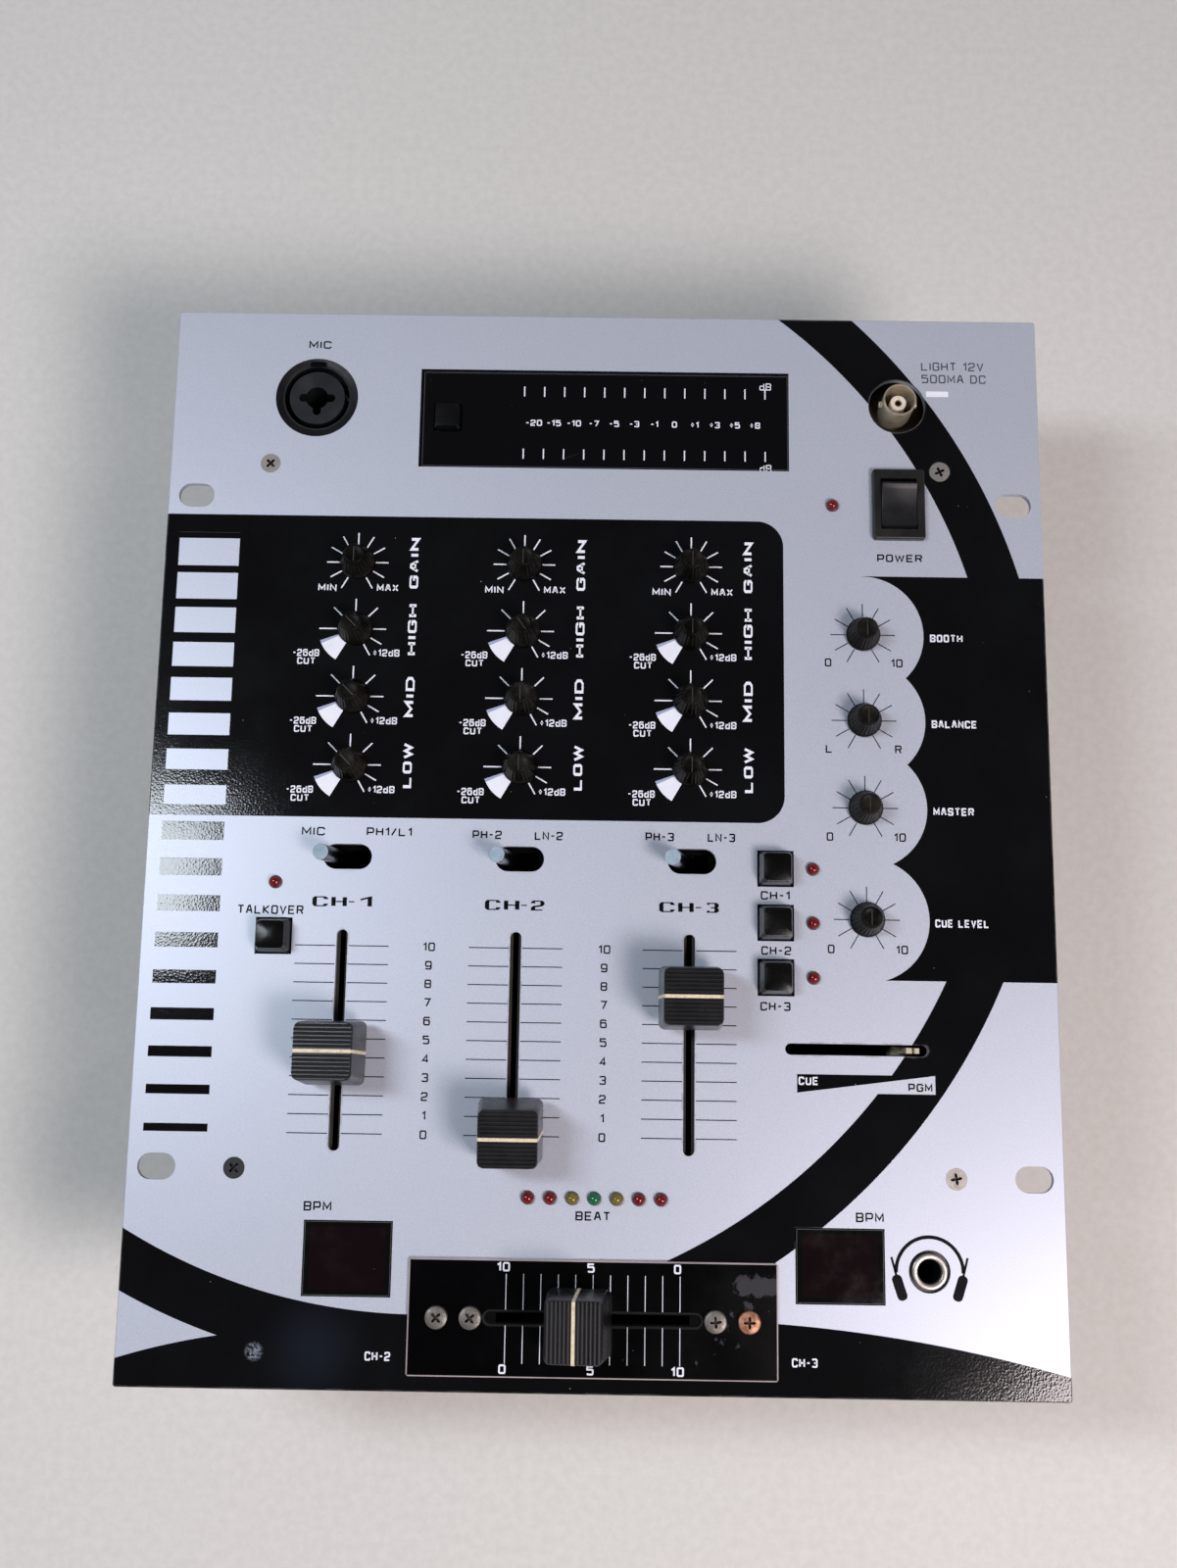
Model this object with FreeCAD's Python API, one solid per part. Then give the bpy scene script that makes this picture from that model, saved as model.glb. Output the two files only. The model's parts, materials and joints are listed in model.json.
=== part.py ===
import FreeCAD, Part
import math
import os

V = FreeCAD.Vector

# Case: a sheet tray on feet, closed by the face plate on top and the rear panel behind
PLATE_WIDTH = 254.0
PLATE_LENGTH = 304.8
PLATE_THICK = 2.0
PLATE_CORNER = 0.8
PLATE_EDGE = 0.3
TRAY_HEIGHT = 80.0
SHEET = 1.2
EAR_OVERHANG = 16.0
END_OVERHANG = 10.0
REAR_FLANGE = 10.0
FOOT_HEIGHT = 8.0
FOOT_TOP_R = 10.0
FOOT_BASE_R = 9.0
FOOT_RECESS_R = 4.5
FOOT_RECESS = 4.0
FOOT_INSET_X = 19.0
FOOT_INSET_Y = 21.0

# Fits and clearances
PRESS_GAP = 0.05
SHAFT_GAP = 0.1
RUN_GAP = 0.2
HOLE_GAP = 0.3
EDGE_GAP = 0.15

# Rack slots and face plate screws, measured from the plate's edges
RACK_PITCH = 190.5
RACK_INSET = 8.2
RACK_SLOT_LENGTH = 10.4
RACK_SLOT_WIDTH = 7.1
PLATE_SCREW_INSET = 29.25
PLATE_SCREW_BACK = 105.35
PLATE_SCREW_FRONT = -95.4
SCREW_R = 1.5
SCREW_LENGTH = 8.0
FLAT_HEAD_R = 2.9
FLAT_HEAD = 1.5
PAN_HEAD_R = 3.05
PAN_HEAD = 1.4
CROSS_WIDTH = 0.8
CROSS_SPAN = 3.2
CROSS_DEPTH = 0.9
TAB_WIDTH = 12.0
TAB_MARGIN = 5.0

# Control board hung under the face plate, and the board behind the rear sockets
BOARD_DROP = 16.0
BOARD_THICK = 1.6
BOARD_SIDE = 104.0
BOARD_FRONT = -134.0
BOARD_BACK = 84.0
TONGUE_LEFT = -60.0
TONGUE_RIGHT = 72.0
TONGUE_BACK = 136.0
LAMP_TONGUE_RIGHT = 97.0
LAMP_TONGUE_FRONT = 110.0
STANDOFF_R = 3.0
STANDOFFS = [(-98.0, 70.0), (98.0, 70.0), (-98.0, -75.0), (98.0, -75.0), (1.3, -20.0), (0.0, 92.0)]

# Rotary controls: channel columns and rows, and the single column on the right
FIRST_COLUMN = -71.0
COLUMN_PITCH = 48.2
CHANNELS = 3
GAIN_ROW = 75.5
ROW_PITCH = 19.83
ROW_NAMES = ["gain", "high", "mid", "low"]
RIGHT_COLUMN = 74.6
BOOTH_ROW = 55.9
RIGHT_PITCH = 25.1
RIGHT_NAMES = ["booth", "balance", "master"]
CUE_LEVEL_ROW = -25.7
POT_SIZE = (10.0, 11.0)
POT_HEIGHT = 8.0
POT_FLOOR = 1.0
BUSHING_R = 3.4
BUSHING_SINK = 0.4
SHAFT_R = 2.0
KNOB_BASE_R = 4.9
KNOB_TOP_R = 2.7
KNOB_HEIGHT = 8.4
KNOB_LIFT = 0.6
KNOB_BORE = 6.0
KNOB_EDGE = 0.4
POINTER_WIDTH = 0.7
POINTER_DEPTH = 0.4
# Clockwise turn from straight up at which a knob was left; the others stand straight up
KNOB_TURN = {"high_knob_1": -45.0, "mid_knob_1": -45.0, "low_knob_1": -45.0, "high_knob_2": -35.0}

# Slide controls: one section for all, then the travel and place of each
FADER_WIDTH = 9.0
FADER_HEIGHT = 12.0
FADER_WALL = 1.2
FADER_LUG = 8.0
CARRIAGE_LENGTH = 8.0
CARRIAGE_HEIGHT = 5.0
LEVER_THICK = 1.2
LEVER_LENGTH = 4.0
LEVER_GAP = 0.6
SLOT_WIDTH = 3.1
SLOT_END = 2.6
CHANNEL_TRAVEL = 50.8
CHANNEL_CENTRE = -60.5
# How far each channel lever stands from the middle of its travel
CHANNEL_REST = [-3.8, -CHANNEL_TRAVEL / 2, 12.3]
CUE_TRAVEL = 30.0
CUE_CENTRE = (71.3, -61.4)
CUE_REST = CUE_TRAVEL / 2
CUE_LEVER_RISE = 1.0
CUE_FORK = 1.6
CUE_FORK_DEPTH = 5.0
CAP_BASE = (17.5, 17.2)
CAP_TOP = (15.7, 15.0)
CAP_CORNER = 1.8
CAP_HEIGHT = 15.0
CAP_LIFT = 6.0
CAP_SOCKET = 9.0

# Crossfader on its own plate
CROSS_TRAVEL = 46.4
CROSS_CENTRE = (0.0, -133.1)
CROSS_REST = -4.1
CROSS_BODY_HEIGHT = 16.0
CROSS_PLATE = (98.6, 30.2)
CROSS_PLATE_THICK = 1.2
CROSS_PLATE_CORNER = 0.8
CROSS_OUTER_SCREW = 41.6
CROSS_SLOT_END = 3.6
CROSS_BEVEL = 0.7

# Bat toggles, thrown to the left
TOGGLE_ROW = -10.1
TOGGLE_SHIFT = 0.6
TOGGLE_SLOT = (13.6, 7.1)
TOGGLE_PIVOT = 12.0
TOGGLE_REACH = 11.0
TOGGLE_R = 2.2
TOGGLE_TILT = 15.0
TOGGLE_HUB_R = 2.8
TOGGLE_PIN_R = 1.0
TOGGLE_BODY = (13.0, 8.0)
TOGGLE_WALL = 1.4
TOGGLE_HUB_ROOM = 4.0

# Push buttons
BUTTON_BASE = 9.6
BUTTON_TOP = 7.6
BUTTON_RISE = 5.8
BUTTON_CORNER = 0.6
BUTTON_SKIRT = 3.0
BUTTON_TRAVEL = 2.0
BUTTON_STEM_R = 1.5
SWITCH_SIZE = 8.0
SWITCH_HEIGHT = 8.0
SWITCH_FLOOR = 1.0
STEM_STOP = 0.5
TALKOVER = (-90.1, -32.5)
CUE_COLUMN = 49.3
CUE_ROWS = [-11.8, -26.9, -42.0]
METER_BUTTON = (-46.3, 120.2)
METER_BUTTON_BASE = 7.6
METER_BUTTON_TOP = 7.0
METER_BUTTON_RISE = 2.5

# Indicator lamps
LED_R = 1.78
LED_RISE = 0.3
LED_FLANGE_R = 2.3
LED_FLANGE = 1.0
LED_DROP = 3.0
LEAD_SIZE = 0.5
LEAD_PITCH = 2.54
TALKOVER_LED = (-90.3, -17.5)
CUE_LED_COLUMN = 59.7
POWER_LED = (66.3, 94.6)
TEMPO_LED_ROW = -102.0
TEMPO_LED_PITCH = 6.0

# Windows and the display blocks behind them
WINDOW_FLANGE = 2.0
WINDOW_FLANGE_THICK = 1.0
WINDOW_SINK = 0.1
METER_SIZE = (107.7, 29.7)
METER_CENTRE = (0.0, 119.75)
METER_BLOCK = (86.0, 25.0)
METER_BLOCK_X = 8.0
TEMPO_SIZE = (24.0, 19.8)
TEMPO_X = 66.1
TEMPO_Y = -118.6
TEMPO_BLOCK = (21.0, 17.0)
DISPLAY_GAP = 0.3

# Combined microphone socket
MIC_CENTRE = (-85.1, 125.9)
MIC_FACE_R = 11.9
MIC_SINK = 0.4
MIC_DEPTH = 24.0
MIC_FLANGE_R = 13.5
MIC_FLANGE = 2.0
MIC_GROOVE_OUTER = 9.6
MIC_GROOVE_INNER = 8.1
MIC_GROOVE_DEPTH = 14.0
MIC_HOLE_R = 3.35
MIC_HOLE_DEPTH = 22.0
MIC_PIN_R = 1.25
MIC_PIN_CIRCLE = 4.1
MIC_PIN_DEPTH = 12.0

# Bayonet socket for a small lamp
LAMP_CENTRE = (85.6, 125.4)
LAMP_HOLE_R = 8.3
LAMP_BASE = 14.0
LAMP_BASE_HEIGHT = 4.0
LAMP_COLLAR_R = 7.8
LAMP_COLLAR_SINK = 6.0
LAMP_SHELL_R = 4.8
LAMP_BORE_R = 4.3
LAMP_RISE = 5.2
LAMP_LUG_R = 0.95
LAMP_LUG = 0.75
LAMP_LUG_DROP = 4.2
LAMP_CORE_R = 2.4
LAMP_CORE_SINK = 2.6
LAMP_PIN_R = 0.7
LAMP_PIN_DEPTH = 8.0

# Headphone socket
PHONES_CENTRE = (90.0, -119.6)
PHONES_HOLE_R = 5.6
PHONES_SLEEVE_R = 4.7
PHONES_BORE_R = 3.2
PHONES_RISE = 0.4
PHONES_BODY = 15.0
PHONES_DEPTH = 26.0
PHONES_MOUTH = 0.6
PHONES_NOTCH_GAP = 0.5

# Mains rocker switch
ROCKER_CENTRE = (85.4, 94.8)
ROCKER_BEZEL = (15.2, 21.2)
ROCKER_BEZEL_RISE = 2.0
ROCKER_BEZEL_CORNER = 1.0
ROCKER_BEZEL_EDGE = 0.6
ROCKER_CASE = (12.8, 18.8)
ROCKER_CASE_DEPTH = 18.0
ROCKER_WIDTH = 10.2
ROCKER_R = 7.4
ROCKER_PIVOT = 1.0
ROCKER_CREST = 3.3
ROCKER_BELLY = 3.0
ROCKER_ROOM = 5.0
ROCKER_TILT = 8.0
ROCKER_PIN_R = 1.2
ROCKER_PIN = 1.0

# Rear sockets
PHONO_COLUMNS = 8
PHONO_LEFT = -78.0
PHONO_PITCH = 17.0
PHONO_ROWS = [32.0, 50.0]
PHONO_SLEEVE_R = 4.15
PHONO_SLEEVE = 9.4
PHONO_BORE_R = 1.6
PHONO_BORE = 8.5
PHONO_BODY = 10.0
PHONO_BODY_DEPTH = 13.6
JACK_BOARD_MARGIN = 6.0
GROUND_POST = (-93.0, 41.0)
GROUND_STUD_R = 2.0
GROUND_NUT_R = 4.5
GROUND_NUT = 5.0
GROUND_LENGTH = 9.0
INLET_CENTRE = (80.0, 30.0)
INLET_FLANGE = (26.0, 18.0)
INLET_FLANGE_THICK = 2.0
INLET_CASE = (22.0, 14.0)
INLET_CASE_DEPTH = 14.0
INLET_MOUTH = (17.4, 8.8)
INLET_DEPTH = 11.0
INLET_PIN_R = 1.2
INLET_PIN_PITCH = 8.6
INLET_PIN = 9.0

# Mains transformer on the tray floor
CORE_LEG = 9.0
CORE_DEPTH = 28.0
CORE_HEIGHT = 45.0
COIL_OVERHANG = 8.0
STRAP = 1.2
STRAP_EAR = 9.0
TRANSFORMER_CENTRE = (60.0, 70.0)

# Levels and faces that the sizes above give
UNDER = FOOT_HEIGHT + TRAY_HEIGHT
TOP = UNDER + PLATE_THICK
FLOOR = FOOT_HEIGHT + SHEET
BOARD_TOP = UNDER - BOARD_DROP
SIDE = PLATE_WIDTH / 2 - EAR_OVERHANG
END = PLATE_LENGTH / 2 - END_OVERHANG
CROSS_TOP = TOP + CROSS_PLATE_THICK
COLUMNS = [FIRST_COLUMN + COLUMN_PITCH * i for i in range(CHANNELS)]
RACK_X = PLATE_WIDTH / 2 - RACK_INSET
RACK_HOLES = [(sx * RACK_X, sy * RACK_PITCH / 2) for sx in (-1, 1) for sy in (-1, 1)]
SCREW_X = PLATE_WIDTH / 2 - PLATE_SCREW_INSET
PLATE_SCREWS = [(s * SCREW_X, y) for s in (-1, 1) for y in (PLATE_SCREW_BACK, PLATE_SCREW_FRONT)]
FOOT_X = SIDE - FOOT_INSET_X
FOOT_Y = END - FOOT_INSET_Y
FEET = [(sx * FOOT_X, sy * FOOT_Y) for sx in (-1, 1) for sy in (-1, 1)]
REAR_SCREWS = [(s * (SIDE - SHEET - REAR_FLANGE / 2), z) for s in (-1, 1)
               for z in (FLOOR + REAR_FLANGE, UNDER - REAR_FLANGE)]
TOGGLES = [(x + TOGGLE_SHIFT, TOGGLE_ROW) for x in COLUMNS]
BUTTONS = [TALKOVER] + [(CUE_COLUMN, y) for y in CUE_ROWS]
TEMPO_WINDOWS = [(s * TEMPO_X, TEMPO_Y) for s in (-1, 1)]
TEMPO_LEDS = [((i - 3) * TEMPO_LED_PITCH, TEMPO_LED_ROW) for i in range(7)]
PHONO_PLACES = [(PHONO_LEFT + PHONO_PITCH * i, z) for i in range(PHONO_COLUMNS) for z in PHONO_ROWS]


def knob_places():
    """Name and centre of every rotary control."""
    places = {}
    for row, name in enumerate(ROW_NAMES):
        for channel, x in enumerate(COLUMNS):
            places[f"{name}_knob_{channel + 1}"] = (x, GAIN_ROW - ROW_PITCH * row)
    for row, name in enumerate(RIGHT_NAMES):
        places[f"{name}_knob"] = (RIGHT_COLUMN, BOOTH_ROW - RIGHT_PITCH * row)
    places["cue_level_knob"] = (RIGHT_COLUMN, CUE_LEVEL_ROW)
    return places


KNOBS = knob_places()


def block(x0, x1, y0, y1, z0, z1):
    """Box between two corners."""
    return Part.makeBox(x1 - x0, y1 - y0, z1 - z0, V(x0, y0, z0))


def pad(centre, size, z0, z1):
    """Upright box about a centre in plan."""
    x, y = centre
    w, d = size
    return block(x - w / 2, x + w / 2, y - d / 2, y + d / 2, z0, z1)


def upright_edges(solid):
    """Edges that run up and down."""
    return [e for e in solid.Edges if abs(e.Vertexes[0].Z - e.Vertexes[-1].Z) > 1e-6]


def edges_at(solid, z):
    """Edges that lie wholly at one level."""
    return [e for e in solid.Edges if all(abs(v.Z - z) < 1e-6 for v in e.Vertexes)]


def round_pad(centre, size, z0, z1, radius):
    """Upright box with round corners in plan."""
    solid = pad(centre, size, z0, z1)
    return solid.makeFillet(radius, upright_edges(solid))


def rod(centre, radius, z0, z1):
    """Upright cylinder."""
    return Part.makeCylinder(radius, z1 - z0, V(centre[0], centre[1], z0))


def cone(centre, r0, r1, z0, z1):
    """Upright cone from radius r0 at z0 to r1 at z1."""
    return Part.makeCone(r0, r1, z1 - z0, V(centre[0], centre[1], z0))


def rod_along(axis, start, radius, length):
    """Cylinder from a start point along any axis."""
    return Part.makeCylinder(radius, length, start, axis)


def long_hole(centre, length, width, z0, z1, along_x):
    """Slot with round ends; its length is end to end."""
    run = length - width
    step = (run / 2, 0) if along_x else (0, run / 2)
    size = (run, width) if along_x else (width, run)
    ends = [rod((centre[0] + s * step[0], centre[1] + s * step[1]), width / 2, z0, z1) for s in (-1, 1)]
    return pad(centre, size, z0, z1).fuse(ends).removeSplitter()


def outline(size, radius, z):
    """Closed outline of a rectangle with round corners at one level."""
    slab = round_pad((0, 0), size, z, z + 1, radius)
    return next(f for f in slab.Faces if abs(f.CenterOfMass.z - z) < 1e-6).OuterWire


def taper(base, top, radius, z0, z1):
    """Solid that runs from one round cornered rectangle to another."""
    return Part.makeLoft([outline(base, radius, z0), outline(top, radius, z1)], True, True)


def at(shape, centre, turn=0.0):
    """Copy of a shape made on the Z axis, turned and moved to its place."""
    moved = shape.copy()
    moved.rotate(V(0, 0, 0), V(0, 0, 1), turn)
    moved.translate(V(centre[0], centre[1], 0))
    return moved


def export(name, *shapes):
    """Write one node from the solids of the shapes given."""
    solids = [solid for shape in shapes for solid in shape.Solids]
    whole = solids[0] if len(solids) == 1 else Part.makeCompound(solids)
    whole.exportStep(f"parts/{name}.step")


def cross_recess(top):
    """Cross shaped driver recess, open at a screw head's top."""
    arms = [(CROSS_SPAN, CROSS_WIDTH), (CROSS_WIDTH, CROSS_SPAN)]
    return [pad((0, 0), arm, top - CROSS_DEPTH, top) for arm in arms]


def flat_screw(top):
    """Countersunk screw with its head level at the top given."""
    head = cone((0, 0), SCREW_R, FLAT_HEAD_R, top - FLAT_HEAD, top)
    shank = rod((0, 0), SCREW_R, top - SCREW_LENGTH, top - FLAT_HEAD)
    return head.fuse(shank).cut(cross_recess(top))


def flat_screw_hole(top, bottom):
    """Countersunk hole that the flat screw fits with the press gap."""
    head = cone((0, 0), SCREW_R + PRESS_GAP, FLAT_HEAD_R + PRESS_GAP, top - FLAT_HEAD, top)
    return head.fuse(rod((0, 0), SCREW_R + PRESS_GAP, bottom, top))


def pan_screw(seat):
    """Pan head screw whose head sits on the level given."""
    top = seat + PAN_HEAD
    head = rod((0, 0), PAN_HEAD_R, seat, top)
    head = head.makeFillet(PAN_HEAD / 2, edges_at(head, top))
    shank = rod((0, 0), SCREW_R, seat - SCREW_LENGTH, seat)
    return head.fuse(shank).cut(cross_recess(top))


def screw_hole(z0, z1):
    """Plain round hole for a screw's shank."""
    return rod((0, 0), SCREW_R + PRESS_GAP, z0, z1)


def facing_back(shape):
    """Turn a shape made along +Z so that it points out of the rear panel."""
    turned = shape.copy()
    turned.rotate(V(0, 0, 0), V(1, 0, 0), -90)
    turned.translate(V(0, END, 0))
    return turned


def on_rear(shape, place):
    """Put a shape that points out of the rear panel at its place there."""
    moved = facing_back(shape)
    moved.translate(V(place[0], 0, place[1]))
    return moved


def face_plate():
    """Top plate with its rack ears and every opening for the controls."""
    plate = round_pad((0, 0), (PLATE_WIDTH, PLATE_LENGTH), UNDER, TOP, PLATE_CORNER)
    plate = plate.makeChamfer(PLATE_EDGE, edges_at(plate, TOP))
    cuts = [long_hole(c, RACK_SLOT_LENGTH, RACK_SLOT_WIDTH, UNDER, TOP, True) for c in RACK_HOLES]
    cuts += [at(flat_screw_hole(TOP, UNDER), c) for c in PLATE_SCREWS]
    cuts += [rod(c, BUSHING_R + HOLE_GAP, UNDER, TOP) for c in KNOBS.values()]
    slot = CHANNEL_TRAVEL + LEVER_LENGTH + 2 * SLOT_END
    cuts += [long_hole((x, CHANNEL_CENTRE), slot, SLOT_WIDTH, UNDER, TOP, False) for x in COLUMNS]
    slot = CUE_TRAVEL + LEVER_LENGTH + 2 * SLOT_END
    cuts.append(long_hole(CUE_CENTRE, slot, SLOT_WIDTH, UNDER, TOP, True))
    body = (fader_length(CROSS_TRAVEL) + 2 * HOLE_GAP, FADER_WIDTH + 2 * HOLE_GAP)
    cuts.append(pad(CROSS_CENTRE, body, UNDER, TOP))
    cuts += [at(screw_hole(UNDER, TOP), c) for c in cross_screws(CROSS_OUTER_SCREW)]
    cuts += [long_hole(c, *TOGGLE_SLOT, UNDER, TOP, True) for c in TOGGLES]
    hole = BUTTON_BASE + 2 * HOLE_GAP
    cuts += [pad(c, (hole, hole), UNDER, TOP) for c in BUTTONS]
    cuts += [rod(c, LED_R + SHAFT_GAP, UNDER, TOP) for c in red_leds() + yellow_leds() + green_leds()]
    cuts.append(pad(METER_CENTRE, METER_SIZE, UNDER, TOP))
    cuts += [pad(c, TEMPO_SIZE, UNDER, TOP) for c in TEMPO_WINDOWS]
    cuts.append(rod(MIC_CENTRE, MIC_FACE_R + EDGE_GAP, UNDER, TOP))
    cuts.append(rod(LAMP_CENTRE, LAMP_HOLE_R, UNDER, TOP))
    cuts.append(rod(PHONES_CENTRE, PHONES_HOLE_R, UNDER, TOP))
    case = (ROCKER_CASE[0] + 2 * EDGE_GAP, ROCKER_CASE[1] + 2 * EDGE_GAP)
    cuts.append(pad(ROCKER_CENTRE, case, UNDER, TOP))
    return plate.cut(cuts)


def chassis_tray():
    """Folded tray: floor, front and side walls, rear flanges and screw tabs."""
    rear = END - SHEET
    tray = block(-SIDE, SIDE, -END, rear, FOOT_HEIGHT, UNDER)
    tray = tray.cut(block(SHEET - SIDE, SIDE - SHEET, SHEET - END, rear, FLOOR, UNDER))
    folds = []
    for side in (-1, 1):
        wall = SIDE - SHEET
        flange = block(wall - REAR_FLANGE, wall, rear - SHEET, rear, FLOOR, UNDER)
        folds.append(flange if side > 0 else flange.mirror(V(0, 0, 0), V(1, 0, 0)))
    for x, y in PLATE_SCREWS:
        inner = abs(x) - TAB_MARGIN
        tab = block(inner, SIDE - SHEET, y - TAB_WIDTH / 2, y + TAB_WIDTH / 2, UNDER - SHEET, UNDER)
        folds.append(tab if x > 0 else tab.mirror(V(0, 0, 0), V(1, 0, 0)))
    tray = tray.fuse(folds).removeSplitter()
    holes = [at(screw_hole(UNDER - SHEET, UNDER), c) for c in PLATE_SCREWS]
    holes += [at(screw_hole(FOOT_HEIGHT, FLOOR), c) for c in FEET + strap_screws()]
    holes += [on_rear(screw_hole(-2 * SHEET, 0), c) for c in REAR_SCREWS]
    return tray.cut(holes)


def rear_panel():
    """Flat panel that closes the back of the tray, with its socket openings."""
    panel = block(-SIDE, SIDE, END - SHEET, END, FOOT_HEIGHT, UNDER)
    cuts = [on_rear(screw_hole(-SHEET, 0), c) for c in REAR_SCREWS]
    sleeve = rod((0, 0), PHONO_SLEEVE_R + RUN_GAP, -SHEET, 0)
    cuts += [on_rear(sleeve, c) for c in PHONO_PLACES]
    cuts.append(on_rear(rod((0, 0), GROUND_STUD_R + PRESS_GAP, -SHEET, 0), GROUND_POST))
    case = (INLET_CASE[0] + 2 * EDGE_GAP, INLET_CASE[1] + 2 * EDGE_GAP)
    cuts.append(on_rear(pad((0, 0), case, -SHEET, 0), INLET_CENTRE))
    return panel.cut(cuts)


def rubber_foot():
    """Tapered foot with a recess for its screw."""
    foot = cone((0, 0), FOOT_BASE_R, FOOT_TOP_R, 0, FOOT_HEIGHT)
    recess = rod((0, 0), FOOT_RECESS_R, 0, FOOT_RECESS)
    return foot.cut([recess, screw_hole(FOOT_RECESS, FOOT_HEIGHT)])


def upward_screw(seat):
    """Pan head screw driven up from below, its head against the level given."""
    return pan_screw(0).mirror(V(0, 0, 0), V(0, 0, 1)).translated(V(0, 0, seat))


def standoff():
    """Post that hangs the control board from the face plate."""
    return rod((0, 0), STANDOFF_R, BOARD_TOP, UNDER)


def control_board():
    """Main circuit board with its two tongues and the headphone notch."""
    low = BOARD_TOP - BOARD_THICK
    main = block(-BOARD_SIDE, BOARD_SIDE, BOARD_FRONT, BOARD_BACK, low, BOARD_TOP)
    meter = block(TONGUE_LEFT, TONGUE_RIGHT, BOARD_BACK, TONGUE_BACK, low, BOARD_TOP)
    lamp = block(TONGUE_RIGHT, LAMP_TONGUE_RIGHT, LAMP_TONGUE_FRONT, TONGUE_BACK, low, BOARD_TOP)
    reach = PHONES_BODY / 2 + PHONES_NOTCH_GAP
    x, y = PHONES_CENTRE
    notch = block(x - reach, BOARD_SIDE, BOARD_FRONT, y + reach, low, BOARD_TOP)
    return main.fuse([meter, lamp]).removeSplitter().cut(notch)


def jack_board():
    """Upright board that the phono sockets are soldered to."""
    front = END - SHEET - PHONO_BODY_DEPTH
    reach = PHONO_BODY / 2 + JACK_BOARD_MARGIN
    left = PHONO_LEFT - reach
    right = PHONO_LEFT + PHONO_PITCH * (PHONO_COLUMNS - 1) + reach
    return block(left, right, front - BOARD_THICK, front, PHONO_ROWS[0] - reach, PHONO_ROWS[-1] + reach)


def pot_body():
    """Potentiometer case and bushing with the bore its shaft turns in."""
    case = pad((0, 0), POT_SIZE, BOARD_TOP, BOARD_TOP + POT_HEIGHT)
    bushing = rod((0, 0), BUSHING_R, BOARD_TOP + POT_HEIGHT, TOP - BUSHING_SINK)
    bore = rod((0, 0), SHAFT_R + SHAFT_GAP, BOARD_TOP + POT_FLOOR, TOP)
    return case.fuse(bushing).cut(bore)


def knob_cap():
    """Tapered knob with a pointer groove and a blind bore for its shaft."""
    low = TOP + KNOB_LIFT
    high = low + KNOB_HEIGHT
    cap = cone((0, 0), KNOB_BASE_R, KNOB_TOP_R, low, high)
    cap = cap.makeFillet(KNOB_EDGE, edges_at(cap, high))
    bore = rod((0, 0), SHAFT_R + PRESS_GAP, low, low + KNOB_BORE)
    half = POINTER_WIDTH / 2
    pointer = block(-half, half, 0, KNOB_TOP_R, high - POINTER_DEPTH, high)
    return cap.cut([bore, pointer])


def knob_shaft():
    """Shaft from the potentiometer's floor to the end of the knob's bore."""
    return rod((0, 0), SHAFT_R, BOARD_TOP + POT_FLOOR + RUN_GAP, TOP + KNOB_LIFT + KNOB_BORE)


def fader_room(travel):
    """Length of the space that a fader's carriage slides in."""
    return travel + CARRIAGE_LENGTH + 2 * RUN_GAP


def fader_length(travel):
    """Outer length of a fader's case with its end lugs."""
    return fader_room(travel) + 2 * (FADER_WALL + FADER_LUG)


def fader_case(travel, base, height):
    """Fader case along Y with its carriage space and the slit for the lever."""
    top = base + height
    case = pad((0, 0), (FADER_WIDTH, fader_length(travel)), base, top)
    inner = FADER_WIDTH - 2 * FADER_WALL
    room = pad((0, 0), (inner, fader_room(travel)), base + FADER_WALL, top - FADER_WALL)
    slit_size = (LEVER_THICK + 2 * LEVER_GAP, travel + LEVER_LENGTH + 2 * LEVER_GAP)
    slit = pad((0, 0), slit_size, top - FADER_WALL, top)
    return case.cut([room, slit])


def fader_lever(base, rest, top):
    """Carriage and lever of a fader, standing off the middle of its travel."""
    seat = base + FADER_WALL + RUN_GAP
    width = FADER_WIDTH - 2 * (FADER_WALL + RUN_GAP)
    carriage = pad((0, rest), (width, CARRIAGE_LENGTH), seat, seat + CARRIAGE_HEIGHT)
    tongue = pad((0, rest), (LEVER_THICK, LEVER_LENGTH), seat + CARRIAGE_HEIGHT, top)
    return carriage.fuse(tongue)


def fader_cap(rest, deck):
    """Fader cap above a deck level, with a blind socket for the lever."""
    low = deck + CAP_LIFT
    cap = taper(CAP_BASE, CAP_TOP, CAP_CORNER, low, low + CAP_HEIGHT)
    size = (LEVER_THICK + 2 * PRESS_GAP, LEVER_LENGTH + 2 * PRESS_GAP)
    socket = pad((0, 0), size, low, low + CAP_SOCKET)
    return at(cap.cut(socket), (0, rest))


def lever_top(deck):
    """Level at which a lever meets the end of its cap's socket."""
    return deck + CAP_LIFT + CAP_SOCKET


def cue_lever():
    """Bare forked lever of the cue fader, its cap missing."""
    top = TOP + CUE_LEVER_RISE
    lever = fader_lever(BOARD_TOP, CUE_REST, top)
    fork = pad((0, CUE_REST), (LEVER_THICK, CUE_FORK), top - CUE_FORK_DEPTH, top)
    return at(lever.cut(fork), CUE_CENTRE, -90)


def cross_screws(offset):
    """Centres of a pair of crossfader screws."""
    x, y = CROSS_CENTRE
    return [(x - offset, y), (x + offset, y)]


def cross_inner_screw():
    """Offset of the screws that reach the middle of the fader's lugs."""
    return fader_room(CROSS_TRAVEL) / 2 + FADER_WALL + FADER_LUG / 2


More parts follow.
